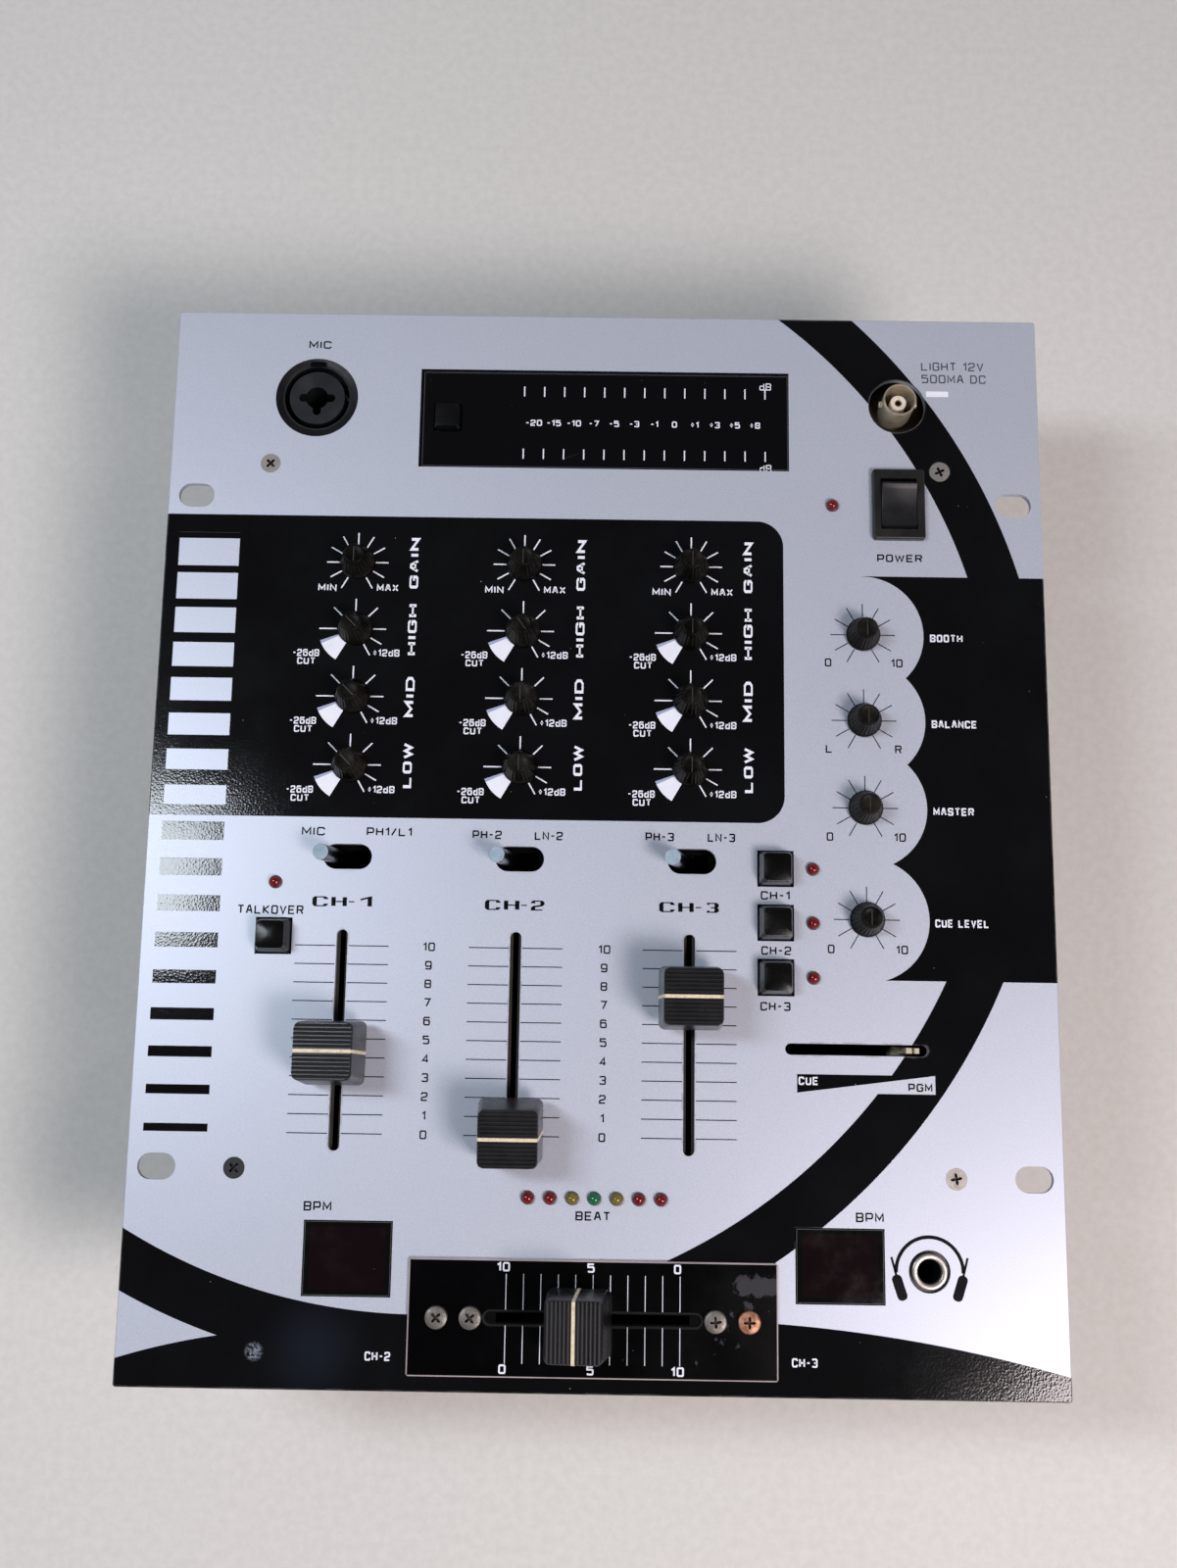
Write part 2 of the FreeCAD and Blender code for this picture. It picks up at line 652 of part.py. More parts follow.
def crossfader_plate():
    """Plate over the crossfader with a bevelled slot and four screw holes."""
    plate = round_pad(CROSS_CENTRE, CROSS_PLATE, TOP, CROSS_TOP, CROSS_PLATE_CORNER)
    plate = plate.makeChamfer(PLATE_EDGE, edges_at(plate, CROSS_TOP))
    length = CROSS_TRAVEL + LEVER_LENGTH + 2 * CROSS_SLOT_END
    slot = long_hole(CROSS_CENTRE, length, SLOT_WIDTH, TOP, CROSS_TOP, True)
    plate = plate.cut(slot)
    reach = length / 2
    rim = [e for e in edges_at(plate, CROSS_TOP) if is_slot_edge(e, reach)]
    plate = plate.makeChamfer(CROSS_BEVEL, rim)
    holes = cross_screws(CROSS_OUTER_SCREW) + cross_screws(cross_inner_screw())
    return plate.cut([at(screw_hole(TOP, CROSS_TOP), c) for c in holes])


def is_slot_edge(edge, reach):
    """True for an edge of the crossfader plate's slot."""
    middle = edge.CenterOfMass
    across = abs(middle.y - CROSS_CENTRE[1]) <= SLOT_WIDTH
    return across and abs(middle.x - CROSS_CENTRE[0]) <= reach


def crossfader_case():
    """Crossfader case hung under its plate, with blind holes for its screws."""
    base = TOP - CROSS_BODY_HEIGHT
    case = at(fader_case(CROSS_TRAVEL, base, CROSS_BODY_HEIGHT), CROSS_CENTRE, -90)
    deep = CROSS_TOP - SCREW_LENGTH - RUN_GAP
    return case.cut([at(screw_hole(deep, TOP), c) for c in cross_screws(cross_inner_screw())])


def toggle_pivot():
    """Level of the toggles' pivot pins."""
    return TOP - TOGGLE_PIVOT


def toggle_body():
    """Toggle case, open on top, with holes for the lever's pins."""
    pivot = toggle_pivot()
    top = pivot + TOGGLE_HUB_ROOM + TOGGLE_WALL
    case = pad((0, 0), TOGGLE_BODY, BOARD_TOP, top)
    inner = (TOGGLE_BODY[0] - 2 * TOGGLE_WALL, TOGGLE_BODY[1] - 2 * TOGGLE_WALL)
    room = pad((0, 0), inner, pivot - TOGGLE_HUB_ROOM, top)
    start = V(0, -TOGGLE_BODY[1] / 2, pivot)
    pins = rod_along(V(0, 1, 0), start, TOGGLE_PIN_R + SHAFT_GAP, TOGGLE_BODY[1])
    return case.cut([room, pins])


def toggle_lever():
    """Bat lever with its hub and pivot pins, thrown to the left."""
    pivot = toggle_pivot()
    bat = rod((0, 0), TOGGLE_R, pivot, TOP + TOGGLE_REACH)
    bat = bat.makeChamfer(PLATE_EDGE, edges_at(bat, TOP + TOGGLE_REACH))
    inner = TOGGLE_BODY[1] - 2 * (TOGGLE_WALL + RUN_GAP)
    hub = rod_along(V(0, 1, 0), V(0, -inner / 2, pivot), TOGGLE_HUB_R, inner)
    pins = rod_along(V(0, 1, 0), V(0, -TOGGLE_BODY[1] / 2, pivot), TOGGLE_PIN_R, TOGGLE_BODY[1])
    lever = bat.fuse([hub, pins])
    lever.rotate(V(0, 0, pivot), V(0, 1, 0), -TOGGLE_TILT)
    return lever


def push_button(base, top, rise):
    """Tapered button cap with its skirt under the plate and its stem."""
    low = UNDER - BUTTON_SKIRT
    cap = taper((base, base), (top, top), BUTTON_CORNER, TOP, TOP + rise)
    cap = cap.makeFillet(BUTTON_CORNER, edges_at(cap, TOP + rise))
    skirt = round_pad((0, 0), (base, base), low, TOP, BUTTON_CORNER)
    stem = rod((0, 0), BUTTON_STEM_R, BOARD_TOP + SWITCH_FLOOR + BUTTON_TRAVEL + STEM_STOP, low)
    return cap.fuse([skirt, stem])


def button_switch():
    """Switch under a button, with the hole its stem slides in."""
    case = pad((0, 0), (SWITCH_SIZE, SWITCH_SIZE), BOARD_TOP, BOARD_TOP + SWITCH_HEIGHT)
    bore = rod((0, 0), BUTTON_STEM_R + RUN_GAP, BOARD_TOP + SWITCH_FLOOR, BOARD_TOP + SWITCH_HEIGHT)
    return case.cut(bore)


def led():
    """Lamp with a domed lens, a flange and two leads down to the board."""
    seat = UNDER - LED_DROP
    neck = TOP + LED_RISE
    lens = rod((0, 0), LED_R, seat, neck)
    dome = Part.makeSphere(LED_R, V(0, 0, neck))
    flange = rod((0, 0), LED_FLANGE_R, seat, seat + LED_FLANGE)
    leads = [pad((s * LEAD_PITCH / 2, 0), (LEAD_SIZE, LEAD_SIZE), BOARD_TOP, seat) for s in (-1, 1)]
    return lens.fuse([dome, flange] + leads)


def red_leds():
    """Centres of the red lamps."""
    ends = TEMPO_LEDS[:2] + TEMPO_LEDS[-2:]
    return [TALKOVER_LED, POWER_LED] + [(CUE_LED_COLUMN, y) for y in CUE_ROWS] + ends


def yellow_leds():
    """Centres of the yellow lamps, either side of the middle of the tempo row."""
    return [TEMPO_LEDS[2], TEMPO_LEDS[4]]


def green_leds():
    """Centre of the green lamp, in the middle of the tempo row."""
    return [TEMPO_LEDS[3]]


def window(centre, size):
    """Clear window set in its opening, with a flange under the face plate."""
    low = UNDER - WINDOW_FLANGE_THICK
    pane = pad(centre, (size[0] - 2 * EDGE_GAP, size[1] - 2 * EDGE_GAP), low, TOP - WINDOW_SINK)
    lip = (size[0] + 2 * WINDOW_FLANGE, size[1] + 2 * WINDOW_FLANGE)
    return pane.fuse(pad(centre, lip, low, UNDER))


def meter_window():
    """Level meter window with the opening for its button."""
    hole = METER_BUTTON_BASE + 2 * HOLE_GAP
    cut = pad(METER_BUTTON, (hole, hole), UNDER - WINDOW_FLANGE_THICK, TOP)
    return window(METER_CENTRE, METER_SIZE).cut(cut)


def display_blocks():
    """Lamp blocks behind the meter window and the two tempo windows."""
    top = UNDER - WINDOW_FLANGE_THICK - DISPLAY_GAP
    blocks = [pad((METER_BLOCK_X, METER_CENTRE[1]), METER_BLOCK, BOARD_TOP, top)]
    return blocks + [pad(c, TEMPO_BLOCK, BOARD_TOP, top) for c in TEMPO_WINDOWS]


def mic_housing():
    """Round housing of the microphone socket, with its flange and the well for the insert."""
    face = TOP - MIC_SINK
    housing = rod((0, 0), MIC_FACE_R, face - MIC_DEPTH, face)
    housing = housing.fuse(rod((0, 0), MIC_FLANGE_R, UNDER - MIC_FLANGE, UNDER))
    well = rod((0, 0), MIC_GROOVE_OUTER, face - MIC_GROOVE_DEPTH, face)
    return housing.cut([well, rod((0, 0), MIC_HOLE_R, face - MIC_HOLE_DEPTH, face)])


def mic_insert():
    """Insert on the floor of the housing's well: centre hole and three contact holes."""
    face = TOP - MIC_SINK
    insert = rod((0, 0), MIC_GROOVE_INNER, face - MIC_GROOVE_DEPTH, face)
    cuts = [rod((0, 0), MIC_HOLE_R, face - MIC_GROOVE_DEPTH, face)]
    low = face - MIC_PIN_DEPTH
    for x, y in ((-1, 0), (1, 0), (0, -1)):
        pin = (x * MIC_PIN_CIRCLE, y * MIC_PIN_CIRCLE)
        size = (2 * MIC_PIN_R, MIC_PIN_CIRCLE) if y else (MIC_PIN_CIRCLE, 2 * MIC_PIN_R)
        cuts.append(rod(pin, MIC_PIN_R, low, face))
        cuts.append(pad((pin[0] / 2, pin[1] / 2), size, low, face))
    return insert.cut(cuts)


def lamp_socket():
    """Bayonet shell with two lugs, a collar under the plate and a square base."""
    base = BOARD_TOP + LAMP_BASE_HEIGHT
    top = TOP + LAMP_RISE
    shell = pad((0, 0), (LAMP_BASE, LAMP_BASE), BOARD_TOP, base)
    shell = shell.fuse(rod((0, 0), LAMP_COLLAR_R, base, TOP - LAMP_COLLAR_SINK))
    shell = shell.fuse(rod((0, 0), LAMP_SHELL_R, base, top))
    reach = LAMP_SHELL_R + LAMP_LUG
    lugs = rod_along(V(1, 0, 0), V(-reach, 0, top - LAMP_LUG_DROP), LAMP_LUG_R, 2 * reach)
    return at(shell.fuse(lugs).cut(rod((0, 0), LAMP_BORE_R, base, top)), LAMP_CENTRE)


def lamp_insulator():
    """White core inside the bayonet shell with its contact hole."""
    top = TOP + LAMP_RISE - LAMP_CORE_SINK
    core = rod((0, 0), LAMP_CORE_R, BOARD_TOP + LAMP_BASE_HEIGHT, top)
    return at(core.cut(rod((0, 0), LAMP_PIN_R, top - LAMP_PIN_DEPTH, top)), LAMP_CENTRE)


def headphone_socket():
    """Socket case under the plate with a bright sleeve in its hole."""
    top = TOP + PHONES_RISE
    case = pad((0, 0), (PHONES_BODY, PHONES_BODY), top - PHONES_DEPTH, UNDER)
    sleeve = rod((0, 0), PHONES_SLEEVE_R, UNDER, top)
    bore = rod((0, 0), PHONES_BORE_R, top - PHONES_DEPTH, top)
    socket = case.fuse(sleeve).cut(bore)
    mouth = [e for e in edges_at(socket, top) if abs(e.Curve.Radius - PHONES_BORE_R) < 1e-6]
    return at(socket.makeChamfer(PHONES_MOUTH, mouth), PHONES_CENTRE)


def rocker_pivot():
    """Level of the rocker's pivot pins."""
    return TOP - ROCKER_PIVOT


def rocker_frame():
    """Bezel and case of the mains switch, open for the rocker."""
    top = TOP + ROCKER_BEZEL_RISE
    bezel = round_pad((0, 0), ROCKER_BEZEL, TOP, top, ROCKER_BEZEL_CORNER)
    bezel = bezel.makeFillet(ROCKER_BEZEL_EDGE, edges_at(bezel, top))
    case = pad((0, 0), ROCKER_CASE, TOP - ROCKER_CASE_DEPTH, TOP)
    size = (ROCKER_WIDTH + 2 * RUN_GAP, 2 * (ROCKER_R + HOLE_GAP))
    room = pad((0, 0), size, rocker_pivot() - ROCKER_ROOM, top)
    reach = ROCKER_WIDTH / 2 + ROCKER_PIN + RUN_GAP
    pins = rod_along(V(1, 0, 0), V(-reach, 0, rocker_pivot()), ROCKER_PIN_R + SHAFT_GAP, 2 * reach)
    return at(bezel.fuse(case).cut([room, pins]), ROCKER_CENTRE)


def power_rocker():
    """Rocker with two facets on top and pivot pins, its front end pressed."""
    pivot = rocker_pivot()
    half = ROCKER_WIDTH / 2
    drum = rod_along(V(1, 0, 0), V(-half, 0, pivot), ROCKER_R, ROCKER_WIDTH)
    rise = ROCKER_R * math.tan(math.radians(ROCKER_TILT))
    points = [(-ROCKER_R, -ROCKER_BELLY), (ROCKER_R, -ROCKER_BELLY),
              (ROCKER_R, ROCKER_CREST + rise), (0, ROCKER_CREST), (-ROCKER_R, ROCKER_CREST + rise)]
    corners = [V(-half, y, pivot + z) for y, z in points]
    profile = Part.Face(Part.makePolygon(corners + corners[:1]))
    rocker = drum.common(profile.extrude(V(ROCKER_WIDTH, 0, 0)))
    reach = half + ROCKER_PIN
    rocker = rocker.fuse(rod_along(V(1, 0, 0), V(-reach, 0, pivot), ROCKER_PIN_R, 2 * reach))
    rocker.rotate(V(0, 0, pivot), V(1, 0, 0), ROCKER_TILT)
    return at(rocker, ROCKER_CENTRE)


def phono_socket():
    """Phono socket: the case behind the panel, and the sleeve on it with a contact hole."""
    case = pad((0, 0), (PHONO_BODY, PHONO_BODY), -SHEET - PHONO_BODY_DEPTH, -SHEET)
    sleeve = rod((0, 0), PHONO_SLEEVE_R, -SHEET, PHONO_SLEEVE)
    bore = rod((0, 0), PHONO_BORE_R, PHONO_SLEEVE - PHONO_BORE, PHONO_SLEEVE)
    return [case, sleeve.cut(bore)]


def ground_post():
    """Screw post with its thumb nut against the panel and a nut behind."""
    stud = rod((0, 0), GROUND_STUD_R, -SHEET - GROUND_NUT, GROUND_LENGTH)
    nuts = [rod((0, 0), GROUND_NUT_R, 0, GROUND_NUT),
            rod((0, 0), GROUND_NUT_R, -SHEET - GROUND_NUT / 2, -SHEET)]
    return on_rear(stud.fuse(nuts), GROUND_POST)


def mains_inlet():
    """Two pole inlet: flanged case with a recess, and its two pins."""
    flange = round_pad((0, 0), INLET_FLANGE, 0, INLET_FLANGE_THICK, ROCKER_BEZEL_CORNER)
    case = pad((0, 0), INLET_CASE, -INLET_CASE_DEPTH, 0)
    floor = INLET_FLANGE_THICK - INLET_DEPTH
    mouth = long_hole((0, 0), *INLET_MOUTH, floor, INLET_FLANGE_THICK, True)
    pins = [rod((s * INLET_PIN_PITCH / 2, 0), INLET_PIN_R, floor, floor + INLET_PIN) for s in (-1, 1)]
    return [on_rear(shape, INLET_CENTRE) for shape in [flange.fuse(case).cut(mouth)] + pins]


def strap_screws():
    """Centres of the two transformer screws."""
    x, y = TRANSFORMER_CENTRE
    reach = 3 * CORE_LEG + STRAP_EAR / 2
    return [(x - reach, y), (x + reach, y)]


def power_transformer():
    """Laminated core on its strap with the coil round the middle leg."""
    low = FLOOR + STRAP
    width = 6 * CORE_LEG
    core = pad((0, 0), (width, CORE_DEPTH), low, low + CORE_HEIGHT)
    openings = [pad((s * 1.5 * CORE_LEG, 0), (CORE_LEG, CORE_DEPTH), low + CORE_LEG,
                    low + CORE_HEIGHT - CORE_LEG) for s in (-1, 1)]
    coil_size = (4 * CORE_LEG - 2 * HOLE_GAP, CORE_DEPTH + 2 * COIL_OVERHANG)
    leg = (2 * CORE_LEG + 2 * HOLE_GAP, CORE_DEPTH + 2 * HOLE_GAP)
    coil_low = low + CORE_LEG + HOLE_GAP
    coil_high = low + CORE_HEIGHT - CORE_LEG - HOLE_GAP
    coil = pad((0, 0), coil_size, coil_low, coil_high).cut(pad((0, 0), leg, coil_low, coil_high))
    strap = pad((0, 0), (width + 2 * STRAP_EAR, CORE_DEPTH), FLOOR, low)
    reach = 3 * CORE_LEG + STRAP_EAR / 2
    strap = strap.cut([at(screw_hole(FLOOR, low), (s * reach, 0)) for s in (-1, 1)])
    return [at(shape, TRANSFORMER_CENTRE) for shape in (core.cut(openings), coil, strap)]


def chassis_screws():
    """Screws of the feet, the rear panel and the transformer strap."""
    screws = [at(upward_screw(FOOT_RECESS), c) for c in FEET]
    screws += [at(upward_screw(FOOT_HEIGHT), c) for c in strap_screws()]
    return screws + [on_rear(pan_screw(0), c) for c in REAR_SCREWS]


def export_case():
    """Case, feet, boards and fasteners."""
    export("face_plate", face_plate())
    export("chassis_tray", chassis_tray())
    export("rear_panel", rear_panel())
    export("rubber_feet", *[at(rubber_foot(), c) for c in FEET])
    export("chassis_screws", *chassis_screws())
    export("face_plate_screws", *[at(flat_screw(TOP), c) for c in PLATE_SCREWS])
    export("control_board", control_board())
    export("jack_board", jack_board())
    export("board_standoffs", *[at(standoff(), c) for c in STANDOFFS])
    export("power_transformer", *power_transformer())


def export_knobs():
    """Rotary controls: fixed bodies, and each knob with its shaft."""
    export("pot_bodies", *[at(pot_body(), c) for c in KNOBS.values()])
    for name, centre in KNOBS.items():
        turn = -KNOB_TURN.get(name, 0.0)
        export(name, at(knob_cap(), centre, turn), at(knob_shaft(), centre))


def export_faders():
    """Slide controls: fixed cases, and each lever with its cap."""
    cases = [at(fader_case(CHANNEL_TRAVEL, BOARD_TOP, FADER_HEIGHT), (x, CHANNEL_CENTRE)) for x in COLUMNS]
    cases.append(at(fader_case(CUE_TRAVEL, BOARD_TOP, FADER_HEIGHT), CUE_CENTRE, -90))
    export("fader_bodies", *cases, crossfader_case())
    for channel, (x, rest) in enumerate(zip(COLUMNS, CHANNEL_REST)):
        pieces = [fader_cap(rest, TOP), fader_lever(BOARD_TOP, rest, lever_top(TOP))]
        export(f"channel_fader_{channel + 1}", *[at(p, (x, CHANNEL_CENTRE)) for p in pieces])
    lever = fader_lever(TOP - CROSS_BODY_HEIGHT, CROSS_REST, lever_top(CROSS_TOP))
    pieces = [fader_cap(CROSS_REST, CROSS_TOP), lever]
    export("crossfader", *[at(p, CROSS_CENTRE, -90) for p in pieces])
    export("cue_fader_lever", cue_lever())
    export("crossfader_plate", crossfader_plate())
    screws = cross_screws(CROSS_OUTER_SCREW) + cross_screws(cross_inner_screw())
    export("crossfader_screws", *[at(pan_screw(CROSS_TOP), c) for c in screws])


def export_switches():
    """Toggles, push buttons and the mains rocker."""
    export("toggle_switch_bodies", *[at(toggle_body(), c) for c in TOGGLES])
    for channel, centre in enumerate(TOGGLES):
        export(f"input_toggle_{channel + 1}", at(toggle_lever(), centre))
    export("button_switch_bodies", *[at(button_switch(), c) for c in BUTTONS + [METER_BUTTON]])
    names = ["talkover_button"] + [f"cue_button_{i + 1}" for i in range(len(CUE_ROWS))]
    for name, centre in zip(names, BUTTONS):
        export(name, at(push_button(BUTTON_BASE, BUTTON_TOP, BUTTON_RISE), centre))
    meter_button = push_button(METER_BUTTON_BASE, METER_BUTTON_TOP, METER_BUTTON_RISE)
    export("meter_button", at(meter_button, METER_BUTTON))
    export("rocker_frame", rocker_frame())
    export("power_rocker", power_rocker())


def export_lights():
    """Indicator lamps, windows and the blocks behind them."""
    export("red_leds", *[at(led(), c) for c in red_leds()])
    export("yellow_leds", *[at(led(), c) for c in yellow_leds()])
    export("green_led", *[at(led(), c) for c in green_leds()])
    export("meter_window", meter_window())
    export("tempo_windows", *[window(c, TEMPO_SIZE) for c in TEMPO_WINDOWS])
    export("display_modules", *display_blocks())


def export_sockets():
    """Sockets on the face plate and on the rear panel."""
    export("mic_combo_socket", *[at(s, MIC_CENTRE) for s in (mic_housing(), mic_insert())])
    export("lamp_socket", lamp_socket())
    export("lamp_socket_insulator", lamp_insulator())
    export("headphone_socket", headphone_socket())
    export("phono_sockets", *[on_rear(s, c) for c in PHONO_PLACES for s in phono_socket()])
    export("ground_post", ground_post())
    export("mains_inlet", *mains_inlet())


os.makedirs("parts", exist_ok=True)
export_case()
export_knobs()
export_faders()
export_switches()
export_lights()
export_sockets()
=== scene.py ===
import json
import math

import bmesh
import bpy
from mathutils import Matrix, Vector


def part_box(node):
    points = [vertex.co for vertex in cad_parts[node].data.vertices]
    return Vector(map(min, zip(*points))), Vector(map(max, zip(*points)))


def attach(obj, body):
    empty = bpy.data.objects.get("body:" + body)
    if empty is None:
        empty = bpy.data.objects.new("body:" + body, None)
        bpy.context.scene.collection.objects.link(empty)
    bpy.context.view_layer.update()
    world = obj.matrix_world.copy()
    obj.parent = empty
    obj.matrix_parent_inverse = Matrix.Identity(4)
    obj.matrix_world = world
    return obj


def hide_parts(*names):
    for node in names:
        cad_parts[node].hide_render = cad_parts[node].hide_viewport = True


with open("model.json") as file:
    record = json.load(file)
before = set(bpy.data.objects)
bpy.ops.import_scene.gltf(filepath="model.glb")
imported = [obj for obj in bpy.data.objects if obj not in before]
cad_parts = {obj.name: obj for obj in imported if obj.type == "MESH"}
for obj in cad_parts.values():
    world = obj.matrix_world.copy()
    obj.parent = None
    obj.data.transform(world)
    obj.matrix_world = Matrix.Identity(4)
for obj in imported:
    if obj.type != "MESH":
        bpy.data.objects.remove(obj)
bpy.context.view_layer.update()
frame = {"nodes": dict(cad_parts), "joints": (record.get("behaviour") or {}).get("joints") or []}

# Pieces are drawn in millimetres in the CAD frame, and scaled to metres when they are finished
MM = 0.001
CHANNELS = (1, 2, 3)
EQ_ROWS = ("high", "mid", "low")
RIGHT_KNOBS = ("booth", "balance", "master", "cue_level")
KNOBS = [f"{row}_knob_{n}" for row in ("gain",) + EQ_ROWS for n in CHANNELS]
KNOBS += [f"{name}_knob" for name in RIGHT_KNOBS]
BUTTONS = ["talkover_button"] + [f"cue_button_{n}" for n in CHANNELS]
SMOOTH_ANGLE = math.radians(38)
NEARLY_STRAIGHT = 0.05

# Photograph's camera: its frame, focal length in pixels, place above the floor and two of its axes
PHOTO_SIZE = (1201, 1600)
FOCAL_PIXELS = 1590.0
SENSOR = 36.0
CAMERA_PLACE = (-0.6, -62.8, 523.2)
CAMERA_RIGHT = (0.9999, 0.0153, -0.0036)
CAMERA_UP = (-0.0144, 0.9855, 0.169)

# Black fields of the face print, measured from the plate's middle
LEFT_FIELD = {"left": -140.0, "right": 52.0, "front": 1.0, "back": 89.5, "corner": 7.7}
RIGHT_FIELD = {"left": 74.6, "right": 140.0, "front": -42.4, "back": 73.4, "corner": 0.0}
KNOB_BAY = 17.4
RING_CENTRE = (-47.4, 26.7)
RING_INNER = 159.4
RING_OUTER = 173.7
FRONT_ARCS = (((-73.0, -317.5), 180.7), ((25.4, -530.1), 397.2))
FADE_BOX = {"left": 54.9, "right": 92.6, "front": -73.1, "back": -68.1}
STRIPE_LEFT = -123.0
STRIPE_RIGHT = -105.5
STRIPE_FRONT = -86.0
STRIPE_BACK = 84.0
STRIPE_COUNT = 17
STRIPE_THIN = 0.22
STRIPE_THICK = 0.82
PRINT_EDGE = 0.05
TOP_SKIN = 0.35

# Marks: printed lines, numbers and words
MARK_THICK = 0.03
MARK_SUNK = 0.02
# Ticks round knobs: inner and outer reach from the middle
WHITE_TICK = (5.2, 8.9)
BLACK_TICK = (4.9, 9.2)
LONG_TICK = (5.2, 10.3)
# Breadths of ticks and of the painted highlight lines at the window edges, and how scales are laid out
TICK_BROAD = 0.38
TICK_FINE = 0.27
METER_TICK_BROAD = 0.36
CROSS_TICK_BROAD = 0.19
HIGHLIGHT_LINE = 0.16
LINE_INSET = 0.4
SCALE_STEPS = 11
SCALE_GAP = 0.3
# Lettering: breadth of the lines, heights, and shares of the height
LETTER_LINE = 0.4
WORD_LINE = 0.43
WHITE_LINE = 0.42
METER_LINE = 0.36
CROSS_LINE = 0.46
ROW_LINES = (0.85, 0.5)
CHANNEL_LINES = (1.2, 0.32)
NUMBER_TYPE = 2.4
METER_TYPE = 1.9
RIGHT_TYPE = 2.2
ROW_TYPE = 2.5
CHANNEL_TYPE = 2.8
GREY_TYPE = 2.65
GRID = 8
LETTER_GAP = 0.26
PLAIN_SPAN = 0.85
DIGIT_SPAN = 0.72
GLYPH_SPAN = {"I": 0.0, "1": 0.36, "M": 1.0, "W": 1.25, "-": 0.5, "/": 0.6, "+": 0.6, " ": 0.3, "d": 0.75}
# Lines of each letter: points on a grid of eight by eight, each written as its column and its row
GLYPHS = {
    "A": "00 38 58 80|13 73", "B": "04 74 83 81 70 00 08 78 87 85 74", "C": "82 81 70 10 01 07 18 78 87 86",
    "D": "40 00 08 68 86 82 60 40", "E": "80 00 08 88|04 74", "G": "86 87 78 18 07 01 10 70 81 84 54",
    "H": "00 08|80 88|04 84", "I": "00 08", "K": "00 08|88 14 80", "L": "08 00 80", "M": "00 08 42 88 80",
    "N": "00 08 80 88", "O": "40 70 81 87 78 18 07 01 10 40", "P": "00 08 78 87 84 73 03",
    "R": "00 08 78 87 85 74 04|54 80", "S": "86 87 78 18 07 05 14 74 83 81 70 10 01 02", "T": "08 88|40 48",
    "U": "08 01 10 70 81 88", "V": "08 40 88", "W": "08 20 47 60 88", "X": "00 88|08 80",
    "d": "88 80 10 01 04 15 85", "0": "40 70 81 87 78 18 07 01 10 40", "1": "06 88 80",
    "2": "06 07 18 78 87 85 74 13 02 00 80", "3": "07 18 78 87 85 74 83 81 70 10 01|34 74",
    "4": "60 68 02 82",
    "5": "88 08 05 75 84 81 70 10 01", "6": "87 78 18 07 01 10 70 81 84 75 05", "7": "08 88 30",
    "8": "14 03 01 10 70 81 83 74 14 05 07 18 78 87 85 74", "9": "01 10 70 81 87 78 18 07 04 13 83",
    "+": "04 84|41 47", "-": "04 84", "/": "00 88",
}
CHANNEL_SCALE = {"first": -35.0, "last": -85.9, "half": 13.0}
CROSS_SCALE = {"half": 23.2, "back": (-121.7, -130.9), "front": (-134.9, -144.6)}
CUT_SHADED = (199.6, 205.0)
CUT_PLAIN = (205.0, 240.0)
CUT_STEPS = 8
CUT_RING = (4.8, 10.5)
FULL_TURN = range(-60, 241, 30)
EQ_TURN = (135, 90, 45, 0, -30, -60)
ROW_WORDS = {"gain": 15.2, "high": 15.1, "mid": 11.7, "low": 13.0}
WORD_SHIFT = 16.4
# Words round a knob: shift from its middle, height, length and breadth of the lines
GAIN_WORDS = (("MIN", (-8.5, -7.6), 2.1, 5.3, 0.4), ("MAX", (8.9, -7.5), 2.1, 6.2, 0.4))
EQ_WORDS = (("+12dB", (9.2, -7.0), 2.05, 7.6, 0.37), ("-26dB", (-13.8, -7.2), 2.05, 7.6, 0.37),
            ("CUT", (-13.6, -9.6), 1.95, 5.2, 0.38))
# Words right of a knob: shift and length; then their drop, and the places of the signs at both ends
RIGHT_WORDS = {"booth": (23.9, 9.3), "balance": (25.6, 12.8),
               "master": (24.8, 11.4), "cue_level": (26.4, 14.9)}
RIGHT_DROP = -0.7
RIGHT_ENDS = ((-10.0, -8.2), (9.6, -8.2))
NUMBER_COLUMNS = (-46.8, 1.8)
# Words on the plate: middle, height and length
BLACK_WORDS = [
    ("MIC", (-84.8, 142.4), 2.4, 6.6),
    ("POWER", (85.6, 78.9), 2.3, 13.0),
    ("MIC", (-80.3, -3.1), 2.4, 6.5),
    ("PH1/L1", (-59.0, -3.0), 2.4, 12.7),
    ("PH-2", (-31.5, -3.4), 2.4, 8.2),
    ("LN-2", (-14.2, -3.5), 2.4, 7.9),
    ("PH-3", (16.9, -3.3), 2.4, 8.0),
    ("LN-3", (34.2, -3.3), 2.4, 7.7),
    ("TALKOVER", (-91.3, -25.3), 2.5, 18.4),
    ("CH-1", (49.2, -19.3), 2.4, 8.1),
    ("CH-2", (49.4, -34.6), 2.4, 8.3),
    ("CH-3", (49.1, -49.9), 2.4, 8.3),
    ("PGM", (88.5, -71.3), 2.2, 6.6),
    ("BEAT", (-0.3, -106.6), 2.4, 9.4),
    ("BPM", (-74.6, -105.1), 2.5, 7.5),
    ("BPM", (74.2, -105.8), 2.5, 7.5),
]
WHITE_WORDS = [
    ("CUE", (58.0, -69.9), 2.2, 5.4),
    ("CH-2", (-57.0, -143.5), 2.3, 6.8),
    ("CH-3", (56.4, -143.4), 2.3, 6.8),
]
CHANNEL_WORDS = {"1": (-71.4, -22.8), "2": (-23.3, -23.1), "3": (25.2, -23.0)}
